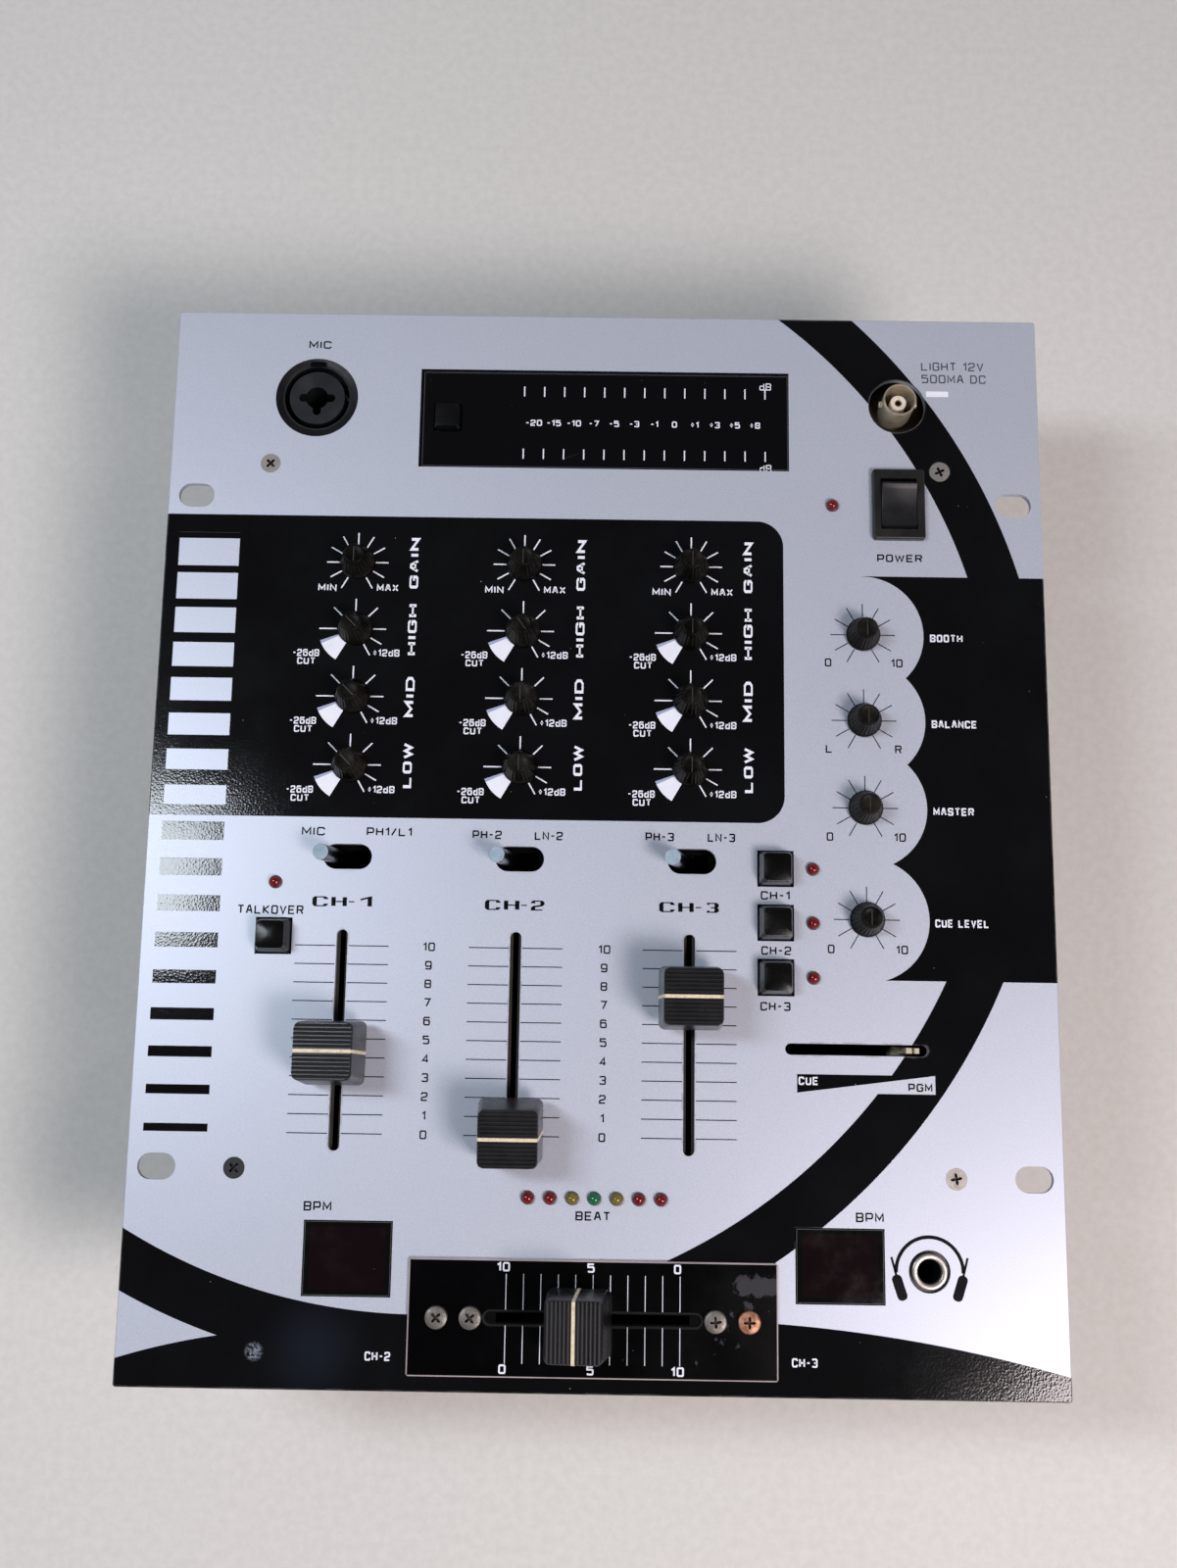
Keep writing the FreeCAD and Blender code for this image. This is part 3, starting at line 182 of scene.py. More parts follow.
# Parts of a channel word: shift from its middle, length
CHANNEL_LETTERS, CHANNEL_DASH, CHANNEL_DIGIT = (-3.5, 9.6), (2.6, 2.8), (6.4, 3.8)
GREY_WORDS = [("LIGHT 12V", (102.2, 138.0), 18.4), ("500MA DC", (102.5, 134.1), 18.9)]
PLAIN_BAR = (94.3, 100.8, 128.5, 130.2)
METER_FRAME = ((-54.5, -53.8, 104.9, 135.2), (-53.8, 53.85, 134.5, 135.2))
CROSS_NUMBERS = [("10", -24.0, -119.9), ("5", -0.6, -119.9), ("0", 22.5, -119.9),
                 ("0", -23.8, -146.0), ("5", -0.5, -146.0), ("10", 22.6, -146.0)]
SIGN_RING = (8.5, 9.45)
SIGN_SPAN = (-2.0, 182.0)
SIGN_STEPS = 40
SIGN_TILT = 18.0
SIGN_CUP = (2.7, 6.9, 1.2)
SIGN_CUP_PLACE = (8.1, -4.2)
SIGN_TICK = ((10.2, 3.7), (9.0, -0.9))
SIGN_TICK_BROAD = 0.6
METER_NUMBERS = ("", "-20", "-15", "-10", "-7", "-5", "-3", "-1", "0", "+1", "+3", "+5", "+8")
METER_FIRST = -23.9
METER_PITCH = 5.9
METER_ROWS = (128.6, 109.3)
METER_TICK = 3.1
METER_NUMBER_ROW = 118.9
METER_NUMBER_SHIFT = -3.0
METER_UNIT = 47.0
METER_UNIT_SIZE = (2.2, 3.4, 0.3)
METER_UNIT_ROWS = (131.0, 105.7)
# Windows: middle, then width and depth
METER_PANE = ((0.0, 119.75), (107.7, 29.7))
TEMPO_X = 66.1
TEMPO_PANES = tuple(((x, -118.6), (24.0, 19.8)) for x in (-TEMPO_X, TEMPO_X))

# Places and sizes of openings, lamps, sockets and moving pieces
SLOT_HALF = 1.55
CHANNEL_SLOT = (-90.5, -30.5)
CUE_SLOT = (51.7, 90.9)
CUE_ROW = -61.4
SCREW_X = 97.75
SCREW_BACK = 105.35
SCREW_FRONT = -95.4
CROSS_OUTER = 41.6
CROSS_INNER = 32.6
CROSS_ROW = -133.1
BLACK_SCREW = (-SCREW_X, SCREW_FRONT)
RUSTY_SCREW = (CROSS_OUTER, CROSS_ROW)
SCREW_REACH = 3.6
SCREW_SHANK = 1.5
RECESS_REACH = 1.9
# Screws: place, and turn of the recess in degrees
PLATE_SCREWS = ((-SCREW_X, SCREW_BACK, 45), (SCREW_X, SCREW_BACK, 25),
                (-SCREW_X, SCREW_FRONT, 45), (SCREW_X, SCREW_FRONT, 10))
CROSS_SCREWS = ((-CROSS_OUTER, CROSS_ROW, 45), (-CROSS_INNER, CROSS_ROW, 40),
                (CROSS_INNER, CROSS_ROW, 5), (CROSS_OUTER, CROSS_ROW, 0))
# Screw heads: radius, depth below the top and, in the recess, the depth of its four flutes
RECESS = ((1.62, 0, 1.1), (1.2, 0.9, 0.85), (0, 0.95))
FLAT_HEAD = ((1.5, 1.5), (2.9, 0.04), (2.86, 0)) + RECESS
PAN_HEAD = ((1.5, 1.4), (3.05, 1.4), (3.05, 0.7), (2.84, 0.21), (2.35, 0)) + RECESS
TEMPO_HALF = (10.2, 8.2)
TEMPO_ROW = -102.0
LED_R = 1.78
LED_SEAT = 5.0
LED_DOME = 2.08
RED_PLACES = [(-90.3, -17.5), (66.3, 94.6), (59.7, -11.8), (59.7, -26.9), (59.7, -42.0)]
RED_PLACES += [(x, TEMPO_ROW) for x in (-18.0, -12.0, 12.0, 18.0)]
YELLOW_PLACES = [(-6.0, TEMPO_ROW), (6.0, TEMPO_ROW)]
GREEN_PLACES = [(0.0, TEMPO_ROW)]
KNOB_LIFT = 0.3
KNOB_EASE = 0.5
# Buttons: width at the plate, width at the top and rise of the crown
BUTTON_SHAPE = (9.6, 7.6, 0.7)
METER_BUTTON_SHAPE = (7.6, 7.0, 0.3)
BUTTON_STEM = 6.0
BUTTON_SKIRT = 5.0
CROWN_STEPS = 10
CROWN_CORNER = 0.14
ROD_SIDES = 16
BORE_STEPS = 8
KNOB_FLUTES = 24
FLUTE_STEPS = 6
KNOB_TURN = {"high_knob_1": 45.0, "mid_knob_1": 45.0, "low_knob_1": 45.0, "high_knob_2": 35.0}
CAP_HEIGHT = 15.0
CAP_TOP = (15.7, 15.0)
CAP_CORNER = 1.8
# How far each cap leans to the right and to the back, in degrees
CAP_LEAN = {"channel_fader_1": (-3.8, 1.9), "channel_fader_2": (0.0, -7.2), "channel_fader_3": (0.0, 0.0),
            "crossfader": (-5.7, -1.0)}
# How far each cap sits from its lever, to the right and to the back
CAP_SHIFT = {"channel_fader_2": (0.0, 1.9), "crossfader": (0.6, 0.0)}
RIB_HEIGHT = 0.5
RIB_HALF = 0.36
RIB_PITCH = 1.08
RIB_FIRST = 1.25
RIB_COUNT = 6
RIB_MARGIN = 0.1
TOGGLE_TILT = 15.0
TOGGLE_LENGTH = 23.0
FACE_GROOVE = 0.015
ROCKER_R = 7.4
ROCKER_CREST = 3.3
ROCKER_BELLY = 3.0
ROCKER_TILT = 8.0
ROCKER_STEPS = 10
SADDLE_STEPS = 16
SADDLE_POWER = 1.6
ROCKER_PIN = (1.2, 12.2)
LEVER_DECK = 6.0
# Prongs of the bare lever: shift from its middle and width
LEVER_PRONGS = ((-0.9, 1.7), (1.3, 1.3))
LIP_SINK = 2.1
LIP_GAP = 1.5
LIP_BREADTH = 1.3
LAMP_HOLE = 8.25
LAMP_FOOT = 4.0
LUG_DROP = 4.2
LAMP_COLLAR = 9.6
LAMP_COLLAR_SINK = 6.0
MIC_CENTRE = (-85.1, 125.9)
LATCH_SHIFT = 10.5
PHONES_CENTRE = (90.0, -119.6)
PHONES_BORE = 3.2
PHONES_SEAT = 1.0
FOOT_REACH = 10.0
PHONO_COLUMNS = 8
PHONO_LEFT = -78.0
PHONO_PITCH = 17.0
PHONO_ROWS = (32.0, 50.0)
GROUND_POST = (-93.0, 41.0)
INLET_CENTRE = (80.0, 30.0)
INLET_PITCH = 8.6
HAZE_CENTRE = (-74.0, -142.0)
HAZE_REACH = 17.0
SMUDGE_CENTRE = (-89.9, -142.8)
SMUDGE_REACH = 2.5
WORN_PATCH = {"left": 38.0, "right": 49.5, "front": -126.4, "back": -121.4, "corner": 1.5}
# Bare spots: place and reach
WORN_SPOTS = ((41.3, -129.0, 1.6), (35.6, -134.4, 0.9), (34.5, -138.6, 0.9), (39.1, -139.1, 0.8),
              (37.0, -131.0, 0.8), (32.9, -137.6, 0.6), (32.6, -141.5, 0.6), (27.7, -143.7, 0.6))

# Room, and floor: width, depth and corner
FLOOR_SIZE = (6000.0, 6000.0, 5.0)
FLOOR_THICK = 4.0
ROOM_LOW = 0.2
ROOM_HIGH = 0.8
ROOM_PALE = (0.55, 0.55, 0.57, 1.0)
ROOM_DIM = (0.05, 0.05, 0.056, 1.0)
# Lights: place in metres, size, power and colour
LIGHTS = {
    "main_light": ((0.448, -0.41, 0.88), (0.30, 0.30), 7.3, (1.0, 0.89, 0.88)),
    "left_light": ((-0.47, 0.1, 0.88), (0.13, 0.34), 3.9, (0.84, 0.92, 1.0)),
}


def tone(*screen):
    """Linear colour of a screen colour given in 0 to 255."""
    shares = [value / 255 for value in screen]
    linear = [s / 12.92 if s <= 0.04045 else ((s + 0.055) / 1.055) ** 2.4 for s in shares]
    return *linear, 1.0


def box_mm(node):
    """Lowest and highest corner of a CAD node, in millimetres."""
    low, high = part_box(node)
    return low / MM, high / MM


def centre_mm(node):
    """Middle of a CAD node's box, in millimetres."""
    low, high = box_mm(node)
    return (low + high) / 2


PLATE_TOP = box_mm("face_plate")[1].z
CROSS_TOP = box_mm("crossfader_plate")[1].z
CROSS_SCREW_TOP = box_mm("crossfader_screws")[1].z
METER_TOP = box_mm("meter_window")[1].z
COLUMNS = [centre_mm(f"gain_knob_{n}").x for n in CHANNELS]
REAR_FACE = box_mm("rear_panel")[1].y


# Shader building

def feed(socket, value):
    """Link a socket to an output or set its own value; three numbers for a colour are a screen colour."""
    if isinstance(value, bpy.types.NodeSocket):
        socket.id_data.links.new(value, socket)
    elif socket.type == "RGBA" and len(value) == 3:
        socket.default_value = tone(*value)
    else:
        socket.default_value = value


def add_node(tree, kind, inputs=None, **settings):
    """New shader node with its settings and inputs."""
    node = tree.nodes.new("ShaderNode" + kind)
    for name, value in settings.items():
        setattr(node, name, value)
    for key, value in (inputs or {}).items():
        feed(node.inputs[key], value)
    return node


def calc(operation, *values):
    """Output of one arithmetic node, in the tree of the first output among its values."""
    tree = next(value.id_data for value in values if isinstance(value, bpy.types.NodeSocket))
    return add_node(tree, "Math", dict(enumerate(values)), operation=operation).outputs[0]


def plus(first, second):
    """Sum of two values."""
    return calc("ADD", first, second)


def minus(first, second):
    """Difference of two values."""
    return calc("SUBTRACT", first, second)


def times(first, second):
    """Product of two values."""
    return calc("MULTIPLY", first, second)


def lowest(values):
    """Smallest of several values."""
    smallest = values[0]
    for value in values[1:]:
        smallest = calc("MINIMUM", smallest, value)
    return smallest


def ramp(value, start, end, low=0.0, high=1.0):
    """Value mapped smoothly from start..end to low..high and held there."""
    inputs = {"Value": value, 1: start, 2: end, 3: low, 4: high}
    return add_node(value.id_data, "MapRange", inputs, interpolation_type="SMOOTHSTEP").outputs[0]


def eased(mask, low, high):
    """Number that goes smoothly from low to high along a mask."""
    return ramp(mask, 0.0, 1.0, low, high)


def apart(first, second):
    """Difference of two values, never negative."""
    return calc("ABSOLUTE", minus(first, second))


def blend(share, first, second):
    """Colour between two colours."""
    return add_node(share.id_data, "Mix", {0: share, 6: first, 7: second}, data_type="RGBA").outputs[2]


def tint(colour, mask, share, shade):
    """Colour with a shade laid over it, as strong as a share of a mask."""
    return blend(times(mask, share), colour, shade)


def between(share, first, second):
    """Number between two numbers."""
    return add_node(share.id_data, "Mix", {0: share, 2: first, 3: second}, data_type="FLOAT").outputs[0]


def noise(place, scale, **numbers):
    """Value of a noise texture."""
    return add_node(place.id_data, "TexNoise", {"Vector": place, "Scale": scale, **numbers}).outputs["Fac"]


def spot(tree):
    """Place on the piece, in metres in the CAD frame."""
    return add_node(tree, "TexCoord").outputs["Object"]


def spot_mm(tree):
    """X, Y and Z of the place on the piece, in millimetres."""
    scaled = add_node(tree, "VectorMath", {0: spot(tree), "Scale": 1 / MM}, operation="SCALE")
    return add_node(tree, "SeparateXYZ", {0: scaled.outputs[0]}).outputs


def shader_group(name, output, **numbers):
    """Empty node group that takes a place and named numbers and gives out one number."""
    tree = bpy.data.node_groups.new(name, "ShaderNodeTree")
    tree.interface.new_socket("Place", in_out="INPUT", socket_type="NodeSocketVector")
    for label, value in numbers.items():
        socket = tree.interface.new_socket(label, in_out="INPUT", socket_type="NodeSocketFloat")
        socket.default_value = value
    tree.interface.new_socket(output, in_out="OUTPUT", socket_type="NodeSocketFloat")
    return tree, tree.nodes.new("NodeGroupInput").outputs, tree.nodes.new("NodeGroupOutput").inputs[0]


def use(tree, group, **numbers):
    """Output of a shared effect placed in a material with its own numbers."""
    return add_node(tree, "Group", {"Place": spot(tree), **numbers}, node_tree=group).outputs[0]


def per_metre(size):
    """Texture scale for features of a size given in metres."""
    return calc("DIVIDE", 1.0, size)


def make_grain():
    """Fine grain: a shade that wavers about one half."""
    tree, source, result = shader_group("fine_grain", "Shade", Size=0.0004)
    fine = noise(source["Place"], per_metre(source["Size"]), Detail=3.0, Roughness=0.6)
    feed(result, ramp(fine, 0.25, 0.75))
    return tree


def make_blotches():
    """Large soft patches that cover a chosen share of the surface."""
    tree, source, result = shader_group("soft_blotches", "Mask", Size=0.01, Cover=0.4, Soft=0.15)
    cloud = noise(source["Place"], per_metre(source["Size"]), Detail=6.0, Roughness=0.62)
    edge = minus(0.78, times(source["Cover"], 0.56))
    start = minus(edge, source["Soft"])
    feed(result, ramp(cloud, start, plus(edge, source["Soft"])))
    return tree


def make_specks():
    """Scattered dust specks of uneven size."""
    tree, source, result = shader_group("dust_specks", "Mask", Spacing=0.003, Share=0.3, Size=0.1)
    scale = per_metre(source["Spacing"])
    wobble = noise(source["Place"], times(scale, 6.0))
    cells = add_node(tree, "TexVoronoi", {"Vector": source["Place"], "Scale": scale}).outputs
    chance = add_node(tree, "SeparateXYZ", {0: cells["Color"]}).outputs
    reach = times(source["Size"], plus(chance[1], 0.15))
    away = plus(cells["Distance"], times(wobble, 0.06))
    near = ramp(away, reach, times(reach, 0.6))
    feed(result, times(near, calc("LESS_THAN", chance[0], source["Share"])))
    return tree


def make_scratches():
    """Sparse hairline scratches, all turned one way."""
    tree, source, result = shader_group("hair_scratches", "Mask", Spacing=0.004, Share=0.25, Turn=0.6)
    aimed = add_node(tree, "VectorRotate", {"Vector": source["Place"], "Angle": source["Turn"]},
                     rotation_type="Z_AXIS").outputs[0]
    drawn = add_node(tree, "VectorMath", {0: aimed, 1: (1.0, 0.07, 1.0)}, operation="MULTIPLY").outputs[0]
    scale = per_metre(source["Spacing"])
    cells = add_node(tree, "TexVoronoi", {"Vector": drawn, "Scale": scale}).outputs
    chance = add_node(tree, "SeparateXYZ", {0: cells["Color"]}).outputs[0]
    near = ramp(cells["Distance"], 0.055, 0.02)
    feed(result, times(near, calc("LESS_THAN", chance, source["Share"])))
    return tree


def make_edge_rub():
    """Patchy rubbing along edges."""
    tree, source, result = shader_group("rubbed_edges", "Mask", Width=0.0004, Patches=0.003)
    softened = add_node(tree, "Bevel", {"Radius": source["Width"]}, samples=3).outputs[0]
    normal = add_node(tree, "NewGeometry").outputs["Normal"]
    agree = add_node(tree, "VectorMath", {0: softened, 1: normal}, operation="DOT_PRODUCT").outputs["Value"]
    edge = ramp(agree, 0.985, 0.86)
    patches = noise(source["Place"], per_metre(source["Patches"]), Detail=4.0)
    feed(result, times(edge, ramp(patches, 0.38, 0.62)))
    return tree


def make_pebble():
    """Height of the fine leather-like emboss of the printed film and of powder coat."""
    tree, source, result = shader_group("film_pebble", "Height", Size=0.0009)
    scale = per_metre(source["Size"])
    cells = add_node(tree, "TexVoronoi", {"Vector": source["Place"], "Scale": scale}).outputs
    uneven = noise(source["Place"], times(scale, 0.7), Detail=2.0)
    feed(result, plus(cells["Distance"], uneven))
    return tree


GRAIN = make_grain()
BLOTCHES = make_blotches()
SPECKS = make_specks()
SCRATCHES = make_scratches()
EDGE_RUB = make_edge_rub()
PEBBLE = make_pebble()


def new_finish(name):
    """Material with its tree and its shader."""
    material = bpy.data.materials.new(name)
    material.use_nodes = True
    return material, material.node_tree, material.node_tree.nodes["Principled BSDF"]


def set_finish(shader, **values):
    """Feed the shader's sockets; underscores in the names stand for spaces."""
    for label, value in values.items():
        feed(shader.inputs[label.replace("_", " ")], value)


def set_bump(shader, height, strength, depth):
    """Relief of a depth given in metres."""
    inputs = {"Height": height, "Strength": strength, "Distance": depth}
    feed(shader.inputs["Normal"], add_node(shader.id_data, "Bump", inputs).outputs[0])


# Face print

def length_of(across, along):
    """Length of a step made of two parts at right angles."""
    squares = [times(part, part) for part in (across, along)]
    return calc("SQRT", plus(*squares))


def disc_edge(x, y, centre, radius):
    """Distance outside a circle."""
    across = minus(x, centre[0])
    along = minus(y, centre[1])
    return minus(length_of(across, along), radius)


def field_edge(x, y, left, right, front, back, corner=0.0):
    """Distance outside a rectangle with round corners."""
    across = minus(apart(x, (left + right) / 2), (right - left) / 2 - corner)
    along = minus(apart(y, (front + back) / 2), (back - front) / 2 - corner)
    outer = length_of(calc("MAXIMUM", across, 0.0), calc("MAXIMUM", along, 0.0))
    inside = calc("MINIMUM", calc("MAXIMUM", across, along), 0.0)
    return minus(plus(outer, inside), corner)


def covered(edge):
    """1 inside an outline and 0 outside, from the distance to it."""
    return ramp(edge, PRINT_EDGE, -PRINT_EDGE)


def black_fields(x, y):
    """Mask of the big black shapes: left field, scalloped right field, ring and front arcs."""
    right = field_edge(x, y, **RIGHT_FIELD)
    for name in RIGHT_KNOBS:
        bay = disc_edge(x, y, centre_mm(f"{name}_knob"), KNOB_BAY)
        right = calc("MAXIMUM", right, times(bay, -1.0))
    middle = disc_edge(x, y, RING_CENTRE, (RING_INNER + RING_OUTER) / 2)
    ring = minus(calc("ABSOLUTE", middle), (RING_OUTER - RING_INNER) / 2)
    fronts = [disc_edge(x, y, centre, radius) for centre, radius in FRONT_ARCS]
    left = field_edge(x, y, **LEFT_FIELD)
    return covered(lowest([left, right, ring] + fronts))


def level_stripes(x, y):
    """Mask of the plain graded stripes down the left side, thicker towards the rear."""
    pitch = (STRIPE_BACK - STRIPE_FRONT) / STRIPE_COUNT
    step = calc("DIVIDE", minus(y, STRIPE_FRONT), pitch)
    number = calc("FLOOR", step)
    share = between(calc("DIVIDE", number, STRIPE_COUNT - 1), STRIPE_THIN, STRIPE_THICK)
    stripe = minus(minus(step, number), share)
    stripes = covered(times(stripe, pitch))
    area = field_edge(x, y, STRIPE_LEFT, STRIPE_RIGHT, STRIPE_FRONT, STRIPE_BACK)
    return times(stripes, covered(area))


def fade_wedge(x, y):
    """Masks of the cue fader's box and of the black wedge in its rear left half."""
    box = covered(field_edge(x, y, **FADE_BOX))
    slope = (FADE_BOX["back"] - FADE_BOX["front"]) / (FADE_BOX["right"] - FADE_BOX["left"])
    line = calc("MULTIPLY_ADD", minus(x, FADE_BOX["left"]), slope, FADE_BOX["front"])
    return box, covered(minus(line, y))


def face_print(x, y, z):
    """Mask of black ink on the top of the face plate."""
    ink = apart(black_fields(x, y), level_stripes(x, y))
    box, wedge = fade_wedge(x, y)
    ink = between(box, ink, wedge)
    return times(ink, calc("GREATER_THAN", z, PLATE_TOP - TOP_SKIN))


def slot_rims(x, y):
    """Distance outside the nearest fader slot."""
    rims = [field_edge(x, y, column - SLOT_HALF, column + SLOT_HALF, *CHANNEL_SLOT, SLOT_HALF)
            for column in COLUMNS]
    rims.append(field_edge(x, y, *CUE_SLOT, CUE_ROW - SLOT_HALF, CUE_ROW + SLOT_HALF, SLOT_HALF))
    return lowest(rims)


# Finishes, one function for each material

def face_paint():
    """Silver metallic paint with a black printed film, worn at the slots."""
    material, tree, shader = new_finish("face_paint")
    x, y, z = spot_mm(tree)
    ink = face_print(x, y, z)
    grain = use(tree, GRAIN, Size=0.35 * MM)
    cloud = use(tree, BLOTCHES, Size=60 * MM, Cover=0.5, Soft=0.3)
    # painted light: the silver's blue cast is the colour of the cool light
    silver = blend(grain, (180, 185, 199), (198, 203, 216))
    silver = tint(silver, cloud, 0.25, (178, 184, 199))
    dirt = use(tree, SPECKS, Spacing=9 * MM, Share=0.3, Size=0.05)
    silver = tint(silver, dirt, 0.7, (98, 84, 72))
    haze = use(tree, BLOTCHES, Size=35 * MM, Cover=0.45, Soft=0.2)
    black = blend(haze, (9, 9, 10), (14, 15, 17))
    dust = use(tree, SPECKS, Spacing=3.2 * MM, Share=0.3, Size=0.075)
    black = tint(black, dust, 0.8, (176, 174, 166))
    scratch = use(tree, SCRATCHES, Spacing=7 * MM, Share=0.12, Turn=0.9)
    black = tint(black, scratch, 0.14, (150, 150, 155))
    smear = ramp(disc_edge(x, y, HAZE_CENTRE, HAZE_REACH), 0.0, -HAZE_REACH, 0.0, 0.6)
    black = blend(smear, black, (28, 34, 44))
    ragged = use(tree, BLOTCHES, Size=0.9 * MM, Cover=0.5, Soft=0.1)
    smudge = ramp(disc_edge(x, y, SMUDGE_CENTRE, SMUDGE_REACH), 0.3, -1.2, 0.0, 0.85)
    black = tint(black, smudge, ragged, (138, 146, 160))
    colour = blend(ink, silver, black)
    rim = ramp(slot_rims(x, y), 0.75, 0.1)
    worn = use(tree, BLOTCHES, Size=4 * MM, Cover=0.42, Soft=0.06)
    colour = tint(colour, times(rim, worn), 0.4, (126, 106, 90))
    rub = use(tree, EDGE_RUB, Width=0.5 * MM, Patches=6 * MM)
    colour = tint(colour, rub, 0.25, (205, 203, 200))
    rough = between(ink, eased(grain, 0.38, 0.48), eased(haze, 0.07, 0.1))
    pebble = use(tree, PEBBLE, Size=0.65 * MM)
    relief = between(ink, times(grain, 0.12), pebble)
    set_finish(shader, Base_Color=colour, Roughness=rough, Specular_IOR_Level=0.36,
               Metallic=times(minus(1.0, ink), 0.3))
    set_bump(shader, relief, 0.2, 0.05 * MM)
    return material


def plain_black(name, dark, light, rough, dust, shine=0.5, rubbed=0.1, pebble=0.0, scuffed=0.05):
    """Black paint or plastic with grain, dust, scuffs and rubbed edges; a pebble size gives it relief."""
    material, tree, shader = new_finish(name)
    grain = use(tree, GRAIN, Size=0.25 * MM)
    patches = use(tree, BLOTCHES, Size=9 * MM, Cover=0.4, Soft=0.2)
    specks = use(tree, SPECKS, Spacing=2.4 * MM, Share=0.35, Size=0.09)
    rub = use(tree, EDGE_RUB, Width=0.35 * MM, Patches=2.5 * MM)
    colour = blend(grain, dark, light)
    colour = tint(colour, patches, dust, (104, 97, 88))
    colour = tint(colour, specks, min(1.0, dust * 3), (150, 146, 138))
    colour = tint(colour, rub, rubbed, (120, 118, 116))
    scratch = use(tree, SCRATCHES, Spacing=1.6 * MM, Share=0.4, Turn=0.7)
    colour = tint(colour, scratch, scuffed, (150, 147, 138))
    spread = ramp(plus(grain, patches), 0.0, 2.0, rough - 0.05, rough + 0.1)
    set_finish(shader, Base_Color=colour, Roughness=spread, Specular_IOR_Level=shine)
    if pebble:
        set_bump(shader, use(tree, PEBBLE, Size=pebble), 0.6, 0.1 * MM)
    else:
        set_bump(shader, grain, 0.08, 0.03 * MM)
    return material


def stained_metal(name, dark, light, rough, stain, spread=0.12, metallic=1.0):
    """Bare or plated metal with stains, fine scratches and bright edges."""
    material, tree, shader = new_finish(name)
    grain = use(tree, GRAIN, Size=0.3 * MM)
    patches = use(tree, BLOTCHES, Size=3 * MM, Cover=0.45, Soft=0.15)
    scratch = use(tree, SCRATCHES, Spacing=1.5 * MM, Share=0.3, Turn=0.5)
    rub = use(tree, EDGE_RUB, Width=0.25 * MM, Patches=1.5 * MM)
    colour = blend(grain, dark, light)
    colour = tint(colour, patches, 0.5, stain)
    colour = tint(colour, rub, 0.5, (225, 222, 216))
    uneven = plus(patches, scratch)
    set_finish(shader, Base_Color=colour, Metallic=metallic,
               Roughness=ramp(uneven, 0.0, 2.0, rough, rough + 2 * spread))
    set_bump(shader, plus(grain, scratch), 0.2, 0.02 * MM)
    return material, tree, shader, colour


def metal(*values):
    """Metal finish as it is, with nothing added to it."""
    return stained_metal(*values)[0]


def black_plate():
    """Black painted steel of the crossfader's plate, bright at its edges and rubbed bare in one corner."""
    material, tree, shader = new_finish("black_plate")
    x, y, z = spot_mm(tree)
    grain = use(tree, GRAIN, Size=0.3 * MM)
    haze = use(tree, BLOTCHES, Size=20 * MM, Cover=0.4, Soft=0.2)
    colour = blend(haze, (3, 3, 4), (6, 6, 7))
    specks = use(tree, SPECKS, Spacing=2.6 * MM, Share=0.4, Size=0.09)
    colour = tint(colour, specks, 0.5, (128, 124, 116))
    patch = field_edge(x, y, **WORN_PATCH)
    for *centre, reach in WORN_SPOTS:
        patch = calc("MINIMUM", patch, plus(disc_edge(x, y, centre, reach), 0.6))
    mottle = use(tree, BLOTCHES, Size=1.3 * MM, Cover=0.5, Soft=0.3)
    ragged = calc("MULTIPLY_ADD", minus(mottle, 0.5), 2.4, patch)
    bare = ramp(ragged, 0.5, -0.5)
    colour = tint(colour, bare, 0.8, (64, 63, 68))
    low, high = box_mm("crossfader_plate")
    border = field_edge(x, y, low.x, high.x, low.y, high.y)
    wear = use(tree, BLOTCHES, Size=14 * MM, Cover=0.6, Soft=0.25)
    # painted highlight: the slopes below the top, at the slot bevels, are coloured a lighter grey
    bevel = times(calc("LESS_THAN", z, CROSS_TOP - 0.1), ramp(border, -1.0, -1.2))
    colour = tint(colour, bevel, 0.8, (46, 45, 45))
    rub = times(ramp(border, -0.42, -0.27), calc("MULTIPLY_ADD", wear, 0.35, 0.6))
    colour = blend(rub, colour, (214, 198, 198))
    set_finish(shader, Base_Color=colour, Specular_IOR_Level=0.12, Metallic=times(rub, 0.3),
               Roughness=eased(haze, 0.18, 0.24))
    set_bump(shader, grain, 0.25, 0.03 * MM)
    return material


def recess_shade(across, along, centre, z, top):
    """Mask of the driver recess in a screw head, where dark shade is painted."""
    within = ramp(disc_edge(across, along, centre, RECESS_REACH), 0.1, -0.1)
    return times(within, calc("LESS_THAN", z, top - 0.1))


def plate_screw_steel():
    """Pale zinc with painted shade in the recesses; the head at the front left is blackened."""
    look = (142, 137, 132), (176, 171, 166), 0.36, (112, 106, 100), 0.12, 0.5
    material, tree, shader, zinc = stained_metal("plate_screw_steel", *look)
    x, y, z = spot_mm(tree)
    across = calc("ABSOLUTE", x)
    along = apart(y, (SCREW_BACK + SCREW_FRONT) / 2)
    centre = (SCREW_X, (SCREW_BACK - SCREW_FRONT) / 2)
    recess = recess_shade(across, along, centre, z, PLATE_TOP)
    # painted shade: the recess is coloured near black
    colour = blend(recess, zinc, (22, 21, 20))
    black = ramp(disc_edge(x, y, BLACK_SCREW, SCREW_REACH), 0.3, -0.3)
    colour = tint(colour, black, 0.94, (22, 22, 23))
    set_finish(shader, Base_Color=colour)
    return material


